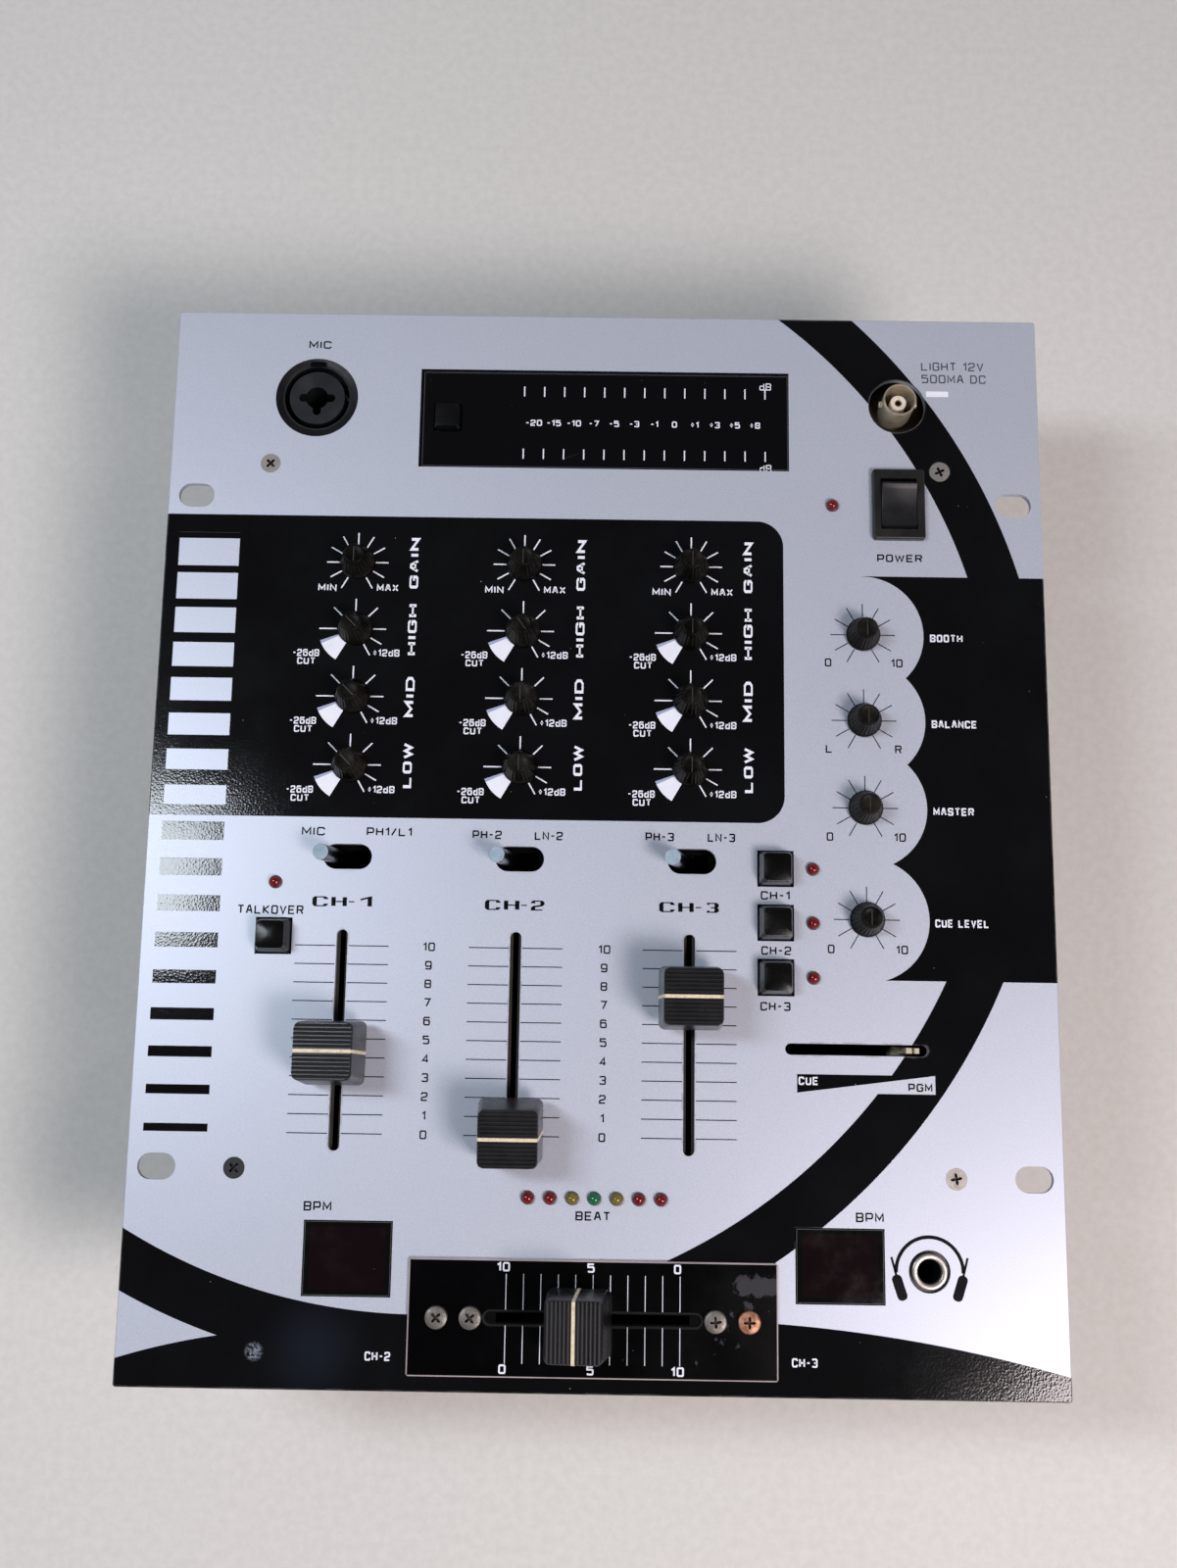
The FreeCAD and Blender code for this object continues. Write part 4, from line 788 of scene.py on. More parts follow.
def crossfader_screw_steel():
    """Dull zinc with one rusted head, the outer one on the right."""
    look = (98, 95, 91), (138, 133, 127), 0.42, (70, 62, 55), 0.12, 0.6
    material, tree, shader, zinc = stained_metal("crossfader_screw_steel", *look)
    x, y, z = spot_mm(tree)
    rusty = ramp(disc_edge(x, y, RUSTY_SCREW, SCREW_REACH), 0.3, -0.3)
    mottle = use(tree, BLOTCHES, Size=1.6 * MM, Cover=0.55, Soft=0.12)
    rust = blend(mottle, (124, 80, 58), (182, 130, 102))
    colour = tint(zinc, rusty, 0.9, rust)
    across = apart(calc("ABSOLUTE", x), (CROSS_OUTER + CROSS_INNER) / 2)
    centre = ((CROSS_OUTER - CROSS_INNER) / 2, CROSS_ROW)
    recess = recess_shade(across, y, centre, z, CROSS_SCREW_TOP)
    # painted shade: the recess is coloured dark brown
    colour = blend(recess, colour, (52, 43, 36))
    set_finish(shader, Base_Color=colour)
    return material


def window_acrylic():
    """Black acrylic pane with dust and wiping marks."""
    material, tree, shader = new_finish("window_acrylic")
    specks = use(tree, SPECKS, Spacing=2.6 * MM, Share=0.4, Size=0.08)
    smear = use(tree, BLOTCHES, Size=22 * MM, Cover=0.45, Soft=0.25)
    scratch = use(tree, SCRATCHES, Spacing=5 * MM, Share=0.2, Turn=1.2)
    marks = calc("MAXIMUM", specks, times(scratch, 0.08))
    colour = tint((5, 5, 6), marks, 0.4, (140, 138, 132))
    set_finish(shader, Base_Color=colour, Roughness=eased(smear, 0.05, 0.16), Coat_Weight=0.3)
    return material


def red_acrylic():
    """Deep red pane with a black painted border."""
    material, tree, shader = new_finish("red_acrylic")
    x, y = spot_mm(tree)[:2]
    row = centre_mm("tempo_windows").y
    width, depth = TEMPO_HALF
    across = minus(calc("ABSOLUTE", x), TEMPO_X)
    inside = covered(field_edge(across, y, -width, width, row - depth, row + depth, 0.6))
    smear = use(tree, BLOTCHES, Size=12 * MM, Cover=0.4, Soft=0.25)
    specks = use(tree, SPECKS, Spacing=2.2 * MM, Share=0.35, Size=0.09)
    red = blend(smear, (16, 6, 8), (21, 9, 11))
    colour = blend(inside, (7, 7, 7), red)
    colour = tint(colour, specks, 0.45, (150, 140, 134))
    set_finish(shader, Base_Color=colour, Roughness=eased(smear, 0.07, 0.2))
    return material


def lamp_lens(name, shaded_foot, bright):
    """Tinted lamp lens: darker at its foot as painted shade from the hole round it, and paler towards the
    crown where the die shows through.
    """
    material, tree, shader = new_finish(name)
    crown = ramp(spot_mm(tree)[2], PLATE_TOP, PLATE_TOP + LED_DOME)
    grain = use(tree, GRAIN, Size=0.8 * MM)
    specks = use(tree, SPECKS, Spacing=0.8 * MM, Share=0.3, Size=0.12)
    # painted shade: the colour darkens towards the foot of the dome
    colour = blend(calc("MULTIPLY_ADD", crown, 0.75, times(grain, 0.25)), shaded_foot, bright)
    colour = tint(colour, specks, 0.12, (200, 190, 180))
    set_finish(shader, Base_Color=colour, Roughness=eased(grain, 0.08, 0.14))
    return material


def pale_plastic(name, dark, light, rough):
    """Cream or white plastic, a little dirty."""
    material, tree, shader = new_finish(name)
    grain = use(tree, GRAIN, Size=0.4 * MM)
    dirt = use(tree, BLOTCHES, Size=1.8 * MM, Cover=0.3, Soft=0.15)
    colour = blend(grain, light, dark)
    colour = tint(colour, dirt, 0.35, (96, 84, 66))
    set_finish(shader, Base_Color=colour, Roughness=eased(dirt, rough, rough + 0.15))
    set_bump(shader, grain, 0.2, 0.02 * MM)
    return material


def printed_ink(name, full, thin, shine):
    """Printing ink, a little uneven in cover."""
    material, tree, shader = new_finish(name)
    cover = use(tree, GRAIN, Size=0.3 * MM)
    worn = use(tree, BLOTCHES, Size=7 * MM, Cover=0.3, Soft=0.2)
    share = times(plus(cover, worn), 0.35)
    set_finish(shader, Base_Color=blend(share, full, thin), Specular_IOR_Level=shine,
               Roughness=eased(worn, 0.4, 0.55))
    return material


def circuit_board():
    """Green board with paler tracks and solder spots."""
    material, tree, shader = new_finish("circuit_board")
    tracks = add_node(tree, "TexBrick", {"Vector": spot(tree), "Scale": 1 / (9 * MM), "Mortar Size": 0.06,
                                         "Color1": (22, 62, 38), "Color2": (26, 70, 42),
                                         "Mortar": (52, 102, 62)})
    solder = use(tree, SPECKS, Spacing=2.5 * MM, Share=0.5, Size=0.22)
    colour = blend(solder, tracks.outputs["Color"], (176, 176, 170))
    set_finish(shader, Base_Color=colour, Metallic=times(solder, 0.8),
               Roughness=eased(solder, 0.45, 0.3))
    return material


# Shape building, in millimetres

def at(x, y, z=0.0):
    """Placing of a shape drawn about its own upright axis."""
    return Matrix.Translation((x, y, z))


def upright_at(node):
    """Placing on the upright axis through a CAD node's middle."""
    return at(*centre_mm(node).xy)


def spin(degrees, axis="Z"):
    """Turn about an axis."""
    return Matrix.Rotation(math.radians(degrees), 4, axis)


def on_rear(x, z):
    """Placing of a shape drawn upright so that it points to the rear from the back panel."""
    return Matrix.Translation((x, REAR_FACE, z)) @ spin(-90, "X")


def join_rings(form, lower, upper):
    """Faces between two rings of points; a ring of one point makes a fan."""
    count = max(len(lower), len(upper))
    for k in range(count):
        following = (k + 1) % count
        corners = [lower[k % len(lower)], lower[following % len(lower)],
                   upper[following % len(upper)], upper[k % len(upper)]]
        form.faces.new(list(dict.fromkeys(corners)))


def turned(form, profile, place, steps=64, flutes=0, hollow=False):
    """Turned shape. A point of its profile holds a radius, a height and, if wanted, the depth of flutes."""
    rings = []
    for radius, height, *flute in profile:
        ring = []
        for step in range(steps if radius else 1):
            angle = math.tau * step / steps
            reach = radius
            if flute:
                reach -= flute[0] * (0.5 - 0.5 * math.cos(flutes * angle))
            point = Vector((reach * math.cos(angle), reach * math.sin(angle), height))
            ring.append(form.verts.new(place @ point))
        rings.append(ring)
    if hollow:
        rings.append(rings[0])
    for lower, upper in zip(rings, rings[1:]):
        join_rings(form, lower, upper)


def loft(form, loops, place=Matrix.Identity(4)):
    """Closed shape through loops that have the same number of points."""
    rings = [[form.verts.new(place @ Vector(point)) for point in loop] for loop in loops]
    for lower, upper in zip(rings, rings[1:]):
        join_rings(form, lower, upper)
    form.faces.new(rings[0])
    form.faces.new(rings[-1])


def rounded(width, depth, corner, steps=5):
    """Points of a rectangle with round corners."""
    points = []
    for quarter, (side_x, side_y) in enumerate(((1, 1), (-1, 1), (-1, -1), (1, -1))):
        for step in range(steps + 1):
            angle = math.radians(90) * (quarter + step / steps)
            points.append((side_x * (width / 2 - corner) + corner * math.cos(angle),
                           side_y * (depth / 2 - corner) + corner * math.sin(angle)))
    return points


def stacked(form, sections, place):
    """Closed block through rounded rectangles, each with its width, depth, corner and height."""
    loft(form, [[(x, y, height) for x, y in rounded(*outline)] for *outline, height in sections], place)


def bored_block(form, sections, bore, place):
    """Square block with a round bore; each section holds its width, corner and height."""
    loops = []
    for width, corner, height in sections:
        outline = [Vector(point) for point in rounded(width, width, corner, 3)]
        sides = zip(outline, outline[1:] + outline[:1])
        points = [start.lerp(end, k / BORE_STEPS) for start, end in sides for k in range(BORE_STEPS)]
        loops.append([(*point, height) for point in points])
    for outer in (loops[-1], loops[0]):
        loops.append([(*(Vector((x, y)).normalized() * bore), height) for x, y, height in outer])
    rings = [[form.verts.new(place @ Vector(point)) for point in loop] for loop in loops]
    for lower, upper in zip(rings, rings[1:] + rings[:1]):
        join_rings(form, lower, upper)


def rod_along_x(form, radius, length, place, bulge=1.0):
    """Round bar along X with soft ends."""
    circle = [math.tau * k / ROD_SIDES for k in range(ROD_SIDES)]
    loops = []
    for share, inset in ((-0.5, 0.75), (-0.49, 0.93), (-0.47, 1.0), (0.47, 1.0), (0.49, 0.93), (0.5, 0.75)):
        reach = radius * inset
        loops.append([(share * length, reach * math.cos(a), bulge * reach * math.sin(a)) for a in circle])
    loft(form, loops, place)


def mesh_of(name, form, material):
    """Mesh in metres from a shape drawn in millimetres."""
    bmesh.ops.recalc_face_normals(form, faces=form.faces)
    mesh = bpy.data.meshes.new(name)
    form.to_mesh(mesh)
    form.free()
    mesh.transform(Matrix.Scale(MM, 4))
    mesh.materials.append(material)
    return mesh


def add_object(name, data):
    """New object in the scene."""
    thing = bpy.data.objects.new(name, data)
    bpy.context.scene.collection.objects.link(thing)
    return thing


def finish_piece(name, form, material, body, nodes=()):
    """Turn a shape into a piece of the model that rides on a body and may stand for CAD nodes."""
    mesh = mesh_of(name, form, material)
    mesh.shade_smooth()
    mesh.set_sharp_from_angle(angle=SMOOTH_ANGLE)
    piece = add_object(name, mesh)
    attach(piece, body)
    if nodes:
        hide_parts(*nodes)


def dress(material, *nodes):
    """Give CAD nodes their material."""
    for node in nodes:
        mesh = frame["nodes"][node].data
        mesh.materials.clear()
        mesh.materials.append(material)


def joint_place(name):
    """Where a joint sits, in millimetres."""
    joint = next(j for j in frame["joints"] if j["name"] == name)
    return Vector(joint["pos_m"]) / MM


# Marks, all of them thin closed prisms

def thin_mark(form, corners, level):
    """Printed shape on a surface at a level."""
    low = [(x, y, level - MARK_SUNK) for x, y in corners]
    high = [(x, y, level + MARK_THICK) for x, y in corners]
    loft(form, [low, high])


def stroke(form, start, end, breadth, level):
    """Printed line."""
    start = Vector(start)
    end = Vector(end)
    side = (end - start).orthogonal().normalized() * breadth / 2
    thin_mark(form, [start - side, end - side, end + side, start + side], level)


def bar(form, left, right, front, back):
    """Straight bar of ink on the plate."""
    thin_mark(form, [(left, front), (right, front), (right, back), (left, back)], PLATE_TOP)


def ray(centre, degrees, radius):
    """Point at an angle and a distance from a centre."""
    angle = math.radians(degrees)
    return centre[0] + radius * math.cos(angle), centre[1] + radius * math.sin(angle)


def arc(centre, radius, start, end, steps):
    """Points along part of a circle."""
    return [ray(centre, start + (end - start) * k / steps, radius) for k in range(steps + 1)]


def corner_shift(runs, upright, flat):
    """Shift from the middle of a printed line to its edge, at a corner between runs."""
    edges = []
    for run in runs:
        across, along = abs(run.x), abs(run.y)
        half = (along * upright + across * flat) / (along + across) / 2
        edges.append((Vector((-run.y, run.x)).normalized(), half))
    (first, near), (last, far) = edges[0], edges[-1]
    turn = first.x * last.y - first.y * last.x
    if abs(turn) < NEARLY_STRAIGHT:
        return first * near
    shift = Vector((near * last.y - far * first.y, first.x * far - last.x * near)) / turn
    longest = 2 * max(near, far)
    return shift if shift.length < longest else shift * (longest / shift.length)


def ribbon(form, points, level, upright, flat):
    """Printed line through points, with one breadth where it runs up and one where it runs across."""
    points = [Vector(point) for point in points]
    runs = [end - start for start, end in zip(points, points[1:])]
    top, bottom = level + MARK_THICK, level - MARK_SUNK
    loops = []
    for k, point in enumerate(points):
        shift = corner_shift(runs[max(k - 1, 0):k + 1], upright, flat)
        left, right = point + shift, point - shift
        loops.append([(*left, top), (*right, top), (*right, bottom), (*left, bottom)])
    loft(form, loops)


def lettering(form, words, centre, height, length=None, upright=LETTER_LINE, flat=None, turn=0.0,
              level=PLATE_TOP):
    """Words in plain squared letters, fitted to a height and, if given, to a length."""
    flat = flat or upright
    spans = [GLYPH_SPAN.get(letter, PLAIN_SPAN) * height for letter in words]
    gap = LETTER_GAP * height
    total = sum(spans) + gap * (len(words) - 1)
    ink = upright * len(words)
    stretch = (length - ink) / total if length else DIGIT_SPAN
    placing = Matrix.Rotation(math.radians(turn), 2)
    sides = (flat, upright) if turn else (upright, flat)
    x = -(stretch * total + ink) / 2
    for letter, span in zip(words, spans):
        for line in GLYPHS[letter].split("|") if letter in GLYPHS else ():
            points = []
            for across, up in line.split():
                point = Vector((x + upright / 2 + int(across) / GRID * span * stretch,
                                (int(up) / GRID - 0.5) * (height - flat)))
                points.append(placing @ point + Vector(centre[:2]))
            ribbon(form, points, level, *sides)
        x += upright + (span + gap) * stretch


def words_beside(form, centre, table):
    """Words at their shifts from the middle of a knob."""
    for words, (across, along), *measures in table:
        lettering(form, words, (centre.x + across, centre.y + along), *measures)


def knob_ticks(form, centre, angles, reach, breadth):
    """Lines round a knob."""
    for angle in angles:
        stroke(form, ray(centre, angle, reach[0]), ray(centre, angle, reach[1]), breadth, PLATE_TOP)


def ring_part(form, centre, radii, span, steps):
    """Printed part of a ring."""
    inner, outer = [arc(centre, radius, *span, steps) for radius in radii]
    thin_mark(form, inner + outer[::-1], PLATE_TOP)


def channel_marks(white, shade):
    """Scales and words of the three channel columns in the left field."""
    for n, column in zip(CHANNELS, COLUMNS):
        gain = centre_mm(f"gain_knob_{n}")
        knob_ticks(white, gain, FULL_TURN, WHITE_TICK, TICK_BROAD)
        words_beside(white, gain, GAIN_WORDS)
        for row, length in ROW_WORDS.items():
            place = (column + WORD_SHIFT, centre_mm(f"{row}_knob_{n}").y)
            lettering(white, row.upper(), place, ROW_TYPE, length, *ROW_LINES, turn=90)
        for row in EQ_ROWS:
            centre = centre_mm(f"{row}_knob_{n}")
            knob_ticks(white, centre, EQ_TURN, WHITE_TICK, TICK_BROAD)
            knob_ticks(white, centre, (180,), LONG_TICK, TICK_BROAD)
            ring_part(shade, centre, CUT_RING, CUT_SHADED, CUT_STEPS)
            ring_part(white, centre, CUT_RING, CUT_PLAIN, CUT_STEPS)
            words_beside(white, centre, EQ_WORDS)


def right_marks(white, black):
    """Scales and words of the four knobs on the right."""
    for name, (shift, length) in RIGHT_WORDS.items():
        centre = centre_mm(f"{name}_knob")
        knob_ticks(black, centre, FULL_TURN, BLACK_TICK, TICK_FINE)
        ends = ("L", "R") if name == "balance" else ("0", "10")
        words_beside(black, centre, [(end, place, NUMBER_TYPE) for end, place in zip(ends, RIGHT_ENDS)])
        words = name.replace("_", " ").upper()
        words_beside(white, centre, [(words, (shift, RIGHT_DROP), RIGHT_TYPE, length, WORD_LINE)])


def fader_marks(black):
    """Scales and numbers of the channel faders."""
    step = (CHANNEL_SCALE["last"] - CHANNEL_SCALE["first"]) / (SCALE_STEPS - 1)
    for k in range(SCALE_STEPS):
        y = CHANNEL_SCALE["first"] + k * step
        for column in COLUMNS:
            for side in (-1, 1):
                start = (column + side * (SLOT_HALF + SCALE_GAP), y)
                end = (column + side * CHANNEL_SCALE["half"], y)
                stroke(black, start, end, TICK_FINE, PLATE_TOP)
        for x in NUMBER_COLUMNS:
            lettering(black, str(SCALE_STEPS - 1 - k), (x, y), NUMBER_TYPE)


def face_words(white, black, grey):
    """Plain words for what each control does."""
    for words, place, height, length in BLACK_WORDS:
        lettering(black, words, place, height, length, WORD_LINE)
    for words, place, height, length in WHITE_WORDS:
        lettering(white, words, place, height, length, WHITE_LINE)
    for number, (x, y) in CHANNEL_WORDS.items():
        parts = {"CH": CHANNEL_LETTERS, "-": CHANNEL_DASH, number: CHANNEL_DIGIT}
        for letters, (shift, length) in parts.items():
            lettering(black, letters, (x + shift, y), CHANNEL_TYPE, length, *CHANNEL_LINES)
    for words, place, length in GREY_WORDS:
        lettering(grey, words, place, GREY_TYPE, length)


def headphone_sign(black):
    """Outline of a pair of headphones round the socket."""
    x, y = PHONES_CENTRE
    ring_part(black, PHONES_CENTRE, SIGN_RING, SIGN_SPAN, SIGN_STEPS)
    across, along = SIGN_CUP_PLACE
    for side in (-1, 1):
        tilt = Matrix.Rotation(math.radians(-side * SIGN_TILT), 2)
        cup = [tilt @ Vector(point) for point in rounded(*SIGN_CUP)]
        thin_mark(black, [(x + side * across + px, y + along + py) for px, py in cup], PLATE_TOP)
        ends = [(x + side * px, y + py) for px, py in SIGN_TICK]
        stroke(black, *ends, SIGN_TICK_BROAD, PLATE_TOP)


def meter_marks(form):
    """Ticks and numbers of the level meter."""
    for k, words in enumerate(METER_NUMBERS):
        x = METER_FIRST + METER_PITCH * k
        for y in METER_ROWS:
            stroke(form, (x, y - METER_TICK / 2), (x, y + METER_TICK / 2), METER_TICK_BROAD, METER_TOP)
        if words:
            place = (x + METER_NUMBER_SHIFT, METER_NUMBER_ROW)
            lettering(form, words, place, METER_TYPE, upright=METER_LINE, level=METER_TOP)
    for y in METER_UNIT_ROWS:
        lettering(form, "dB", (METER_UNIT, y), *METER_UNIT_SIZE, level=METER_TOP)


def crossfader_marks(form):
    """Ticks and numbers of the crossfader."""
    for k in range(SCALE_STEPS):
        x = CROSS_SCALE["half"] * (2 * k / (SCALE_STEPS - 1) - 1)
        for start, end in (CROSS_SCALE["back"], CROSS_SCALE["front"]):
            stroke(form, (x, start), (x, end), CROSS_TICK_BROAD, CROSS_TOP)
    for number, x, y in CROSS_NUMBERS:
        lettering(form, number, (x, y), NUMBER_TYPE, upright=CROSS_LINE, level=CROSS_TOP)


def draw_window_highlights(form):
    """Painted highlight: a thin pale line just inside the edge of each window, and one round the lamp hole.
    """
    for (x, y), (width, depth) in (METER_PANE,) + TEMPO_PANES:
        across = width / 2 - LINE_INSET
        along = depth / 2 - LINE_INSET
        sides = ((-1, -1), (1, -1), (1, 1), (-1, 1))
        corners = [(x + sx * across, y + sy * along) for sx, sy in sides]
        for start, end in zip(corners, corners[1:] + corners[:1]):
            stroke(form, start, end, HIGHLIGHT_LINE, METER_TOP)
    circle = arc(centre_mm("lamp_socket"), LAMP_HOLE, 0, 360, 60)
    ribbon(form, circle, PLATE_TOP, HIGHLIGHT_LINE, HIGHLIGHT_LINE)


def add_marks():
    """All print that lies on the plate, the windows and the crossfader's plate, and the painted highlight
    lines at the window edges.
    """
    white, black, shade, grey, meter, cross, lines = [bmesh.new() for _ in range(7)]
    channel_marks(white, shade)
    right_marks(white, black)
    fader_marks(black)
    face_words(white, black, grey)
    headphone_sign(black)
    bar(white, *PLAIN_BAR)
    for strip in METER_FRAME:
        bar(black, *strip)
    meter_marks(meter)
    crossfader_marks(cross)
    draw_window_highlights(lines)
    white_ink = printed_ink("white_ink", (238, 240, 250), (206, 208, 222), 0.3)
    black_ink = printed_ink("black_ink", (5, 5, 7), (14, 14, 18), 0.06)
    shade_ink = printed_ink("shade_ink", (150, 160, 190), (178, 186, 212), 0.3)
    # painted highlight: grey ink for the lit edges of the windows and the lamp hole
    highlight_ink = printed_ink("window_edge", (66, 65, 68), (92, 90, 92), 0.2)
    grey_ink = printed_ink("grey_ink", (70, 72, 82), (100, 102, 112), 0.12)
    finish_piece("white_face_marks", white, white_ink, "case")
    finish_piece("black_face_marks", black, black_ink, "case")
    finish_piece("shaded_face_marks", shade, shade_ink, "case")
    finish_piece("meter_scale", meter, white_ink, "case")
    finish_piece("crossfader_scale", cross, white_ink, "case")
    finish_piece("window_edge_highlights", lines, highlight_ink, "case")
    finish_piece("grey_face_marks", grey, grey_ink, "case")


# Pieces

def knob(node, material, pointer):
    """Tapered fluted knob with its shaft and pointer line."""
    low, high = box_mm(node)
    place = upright_at(node)
    top = high.z - KNOB_EASE
    base = PLATE_TOP + KNOB_LIFT
    form = bmesh.new()
    profile = [(0, low.z), (1.8, low.z), (2.0, low.z + 0.2), (2.0, base), (4.55, base), (4.8, base + 0.1),
               (4.9, base + 0.35), (4.87, base + 1.0), (4.77, base + 1.25), (4.64, base + 1.4),
               (4.58, base + 1.6, 0.06), (4.48, base + 2.0, 0.2), (3.24, top - 1.0, 0.18),
               (3.06, top - 0.6, 0.06), (2.92, top - 0.28), (2.76, top - 0.1), (2.58, top),
               (2.4, top - 0.02), (2.2, top - 0.13), (1.2, top - 0.22), (0, top - 0.24)]
    turned(form, profile, place, KNOB_FLUTES * FLUTE_STEPS, KNOB_FLUTES)
    finish_piece(node + "_cap", form, material, node, [node])
    line = bmesh.new()
    sections = [(0.3, 4.3, 0.1, top - 0.6), (0.3, 4.3, 0.1, top - 0.16), (0.24, 4.2, 0.1, top - 0.1)]
    stacked(line, sections, place @ spin(KNOB_TURN.get(node, 0.0)))
    finish_piece(node + "_pointer", line, pointer, node)


def rib_reach(across):
    """Half the length of a cap's rib, which stops at the cap's round outline."""
    into = max(0.0, across - (CAP_TOP[1] / 2 - CAP_CORNER))
    return CAP_TOP[0] / 2 - CAP_CORNER + math.sqrt(CAP_CORNER ** 2 - into ** 2) - RIB_MARGIN


def cap_place(node, base, turn):
    """Placing of a fader cap, which sits a little askew on its lever."""
    right, back = CAP_LEAN[node]
    sink = max(CAP_TOP) / 2 * sum(abs(math.sin(math.radians(lean))) for lean in (right, back))
    across, along = CAP_SHIFT.get(node, (0.0, 0.0))
    shift = at(across, along, base - sink)
    return upright_at(node) @ shift @ spin(right, "Y") @ spin(-back, "X") @ spin(turn)


def fader_cap(node, gloss, matte, line, turn):
    """Glossy cap with matte ribs on its lever, and a cream line over the top and down both sides."""
    low, high = box_mm(node)
    base = high.z - CAP_HEIGHT
    deck = CAP_HEIGHT - RIB_HEIGHT
    place = cap_place(node, base, turn)
    form = bmesh.new()
    lever = [(1.2, 4.0, 0.2, low.z), (1.2, 4.0, 0.2, base + 0.5)]
    stacked(form, lever, upright_at(node) @ spin(turn))
    sections = [(17.1, 16.8, 1.7, 0), (17.4, 17.1, 1.8, 0.2), (17.5, 17.2, 1.8, 0.5),
                (15.95, 15.3, 1.8, deck - 0.9), (15.75, 15.08, 1.8, deck - 0.35), (15.3, 14.65, 1.75, deck)]
    stacked(form, sections, place)
    finish_piece(node + "_cap", form, gloss, node, [node])
    ribs = bmesh.new()
    for k in range(RIB_COUNT):
        across = RIB_FIRST + k * RIB_PITCH
        for side in (-1, 1):
            spot_of_rib = place @ at(0, side * across, deck)
            rod_along_x(ribs, RIB_HALF, 2 * rib_reach(across), spot_of_rib, RIB_HEIGHT / RIB_HALF)
    finish_piece(node + "_ribs", ribs, matte, node)
    strip = bmesh.new()
    stacked(strip, [(15.6, 1.0, 0.2, deck - 0.5), (15.6, 1.0, 0.2, CAP_HEIGHT - 0.25),
                    (15.3, 0.84, 0.2, CAP_HEIGHT - 0.05)], place)
    for side in (-1, 1):
        loops = [[(side * reach + px, py, height) for px, py in rounded(0.3, 0.9, 0.1)]
                 for reach, height in ((8.68, 0.7), (7.9, deck - 0.7), (7.62, deck - 0.05))]
        loft(strip, loops, place)
    finish_piece(node + "_line", strip, line, node)


def toggle(n, shaft, face):
    """Plated bat lever, leaning to the left at rest, with a turned end face."""
    node = f"input_toggle_{n}"
    pivot = at(*joint_place(f"{node}_throw"))
    place = pivot @ spin(-TOGGLE_TILT, "Y")
    end = TOGGLE_LENGTH
    form = bmesh.new()
    profile = [(0, -2.8), (1.6, -2.3), (2.5, -1.2), (2.8, 0), (2.5, 1.2), (1.9, 2.1), (1.5, 3.0),
               (1.6, 6.0), (2.12, 11.0), (2.2, end - 4.0), (2.24, end - 0.7), (2.2, end - 0.3),
               (2.1, end - 0.24), (0, end - 0.24)]
    turned(form, profile, place, 48)
    stacked(form, [(2.0, 7.9, 0.9, -0.9), (2.0, 7.9, 0.9, 0.9)], pivot)
    finish_piece(node + "_bat", form, shaft, node, [node])
    disc = bmesh.new()
    rim = [(0, end - 0.5), (2.16, end - 0.5), (2.25, end - 0.24), (2.22, end - 0.1), (2.1, end - 0.02)]
    ridges = [(1.98 - 0.11 * k, end - FACE_GROOVE * (k % 2)) for k in range(18)]
    turned(disc, rim + ridges + [(0, end)], place, 48)
    finish_piece(node + "_end_face", disc, face, node)


def push_button(node, base, top, crown, material):
    """Square button with a pillowed crown, on its stem."""
    low, high = box_mm(node)
    place = upright_at(node)
    rise = high.z
    skirt = max(low.z + BUTTON_STEM, PLATE_TOP - BUTTON_SKIRT)
    form = bmesh.new()
    stem = [(0, low.z), (1.4, low.z), (1.5, low.z + 0.1), (1.5, skirt + 0.5), (0, skirt + 0.5)]
    turned(form, stem, place, 24)
    sections = [(base - 0.1, 0.9, skirt), (base, 0.9, skirt + 0.2), (base, 0.9, PLATE_TOP + 0.2),
                (top + 0.34, 1.0, rise - crown - 0.85), (top + 0.1, 1.05, rise - crown - 0.35)]
    loops = [[(x, y, height) for x, y in rounded(width, width, corner)]
             for width, corner, height in sections]
    for k in range(CROWN_STEPS):
        width = top * (1 - k / CROWN_STEPS)
        loops.append([(x, y, rise - crown * (x * x + y * y) / (top * top / 2))
                      for x, y in rounded(width, width, CROWN_CORNER * width)])
    loft(form, loops, place)
    finish_piece(node + "_cap", form, material, node, [node])


def rocker(material):
    """Saddle-shaped rocker, its front end pressed."""
    pivot = at(*joint_place("power_rocker_tilt"))
    rise = ROCKER_R * math.tan(math.radians(ROCKER_TILT))
    edge = math.sqrt(ROCKER_R ** 2 - (ROCKER_CREST + rise) ** 2)
    start = math.degrees(math.asin(-ROCKER_BELLY / ROCKER_R))
    end = math.degrees(math.asin((ROCKER_CREST + rise) / ROCKER_R))
    right = arc((0, 0), ROCKER_R, start, end, ROCKER_STEPS)
    saddle = []
    for k in range(1, SADDLE_STEPS):
        share = 1 - 2 * k / SADDLE_STEPS
        saddle.append((edge * share, ROCKER_CREST + rise * abs(share) ** SADDLE_POWER * edge / ROCKER_R))
    section = right + saddle + [(-y, z) for y, z in reversed(right)]
    form = bmesh.new()
    loops = []
    for x, inset in ((-5.1, 0.93), (-5.02, 0.975), (-4.8, 1.0), (4.8, 1.0), (5.02, 0.975), (5.1, 0.93)):
        loops.append([(x, y * inset, z * inset) for y, z in section])
    loft(form, loops, pivot @ spin(ROCKER_TILT, "X"))
    rod_along_x(form, *ROCKER_PIN, pivot)
    finish_piece("power_rocker_paddle", form, material, "power_rocker", ["power_rocker"])


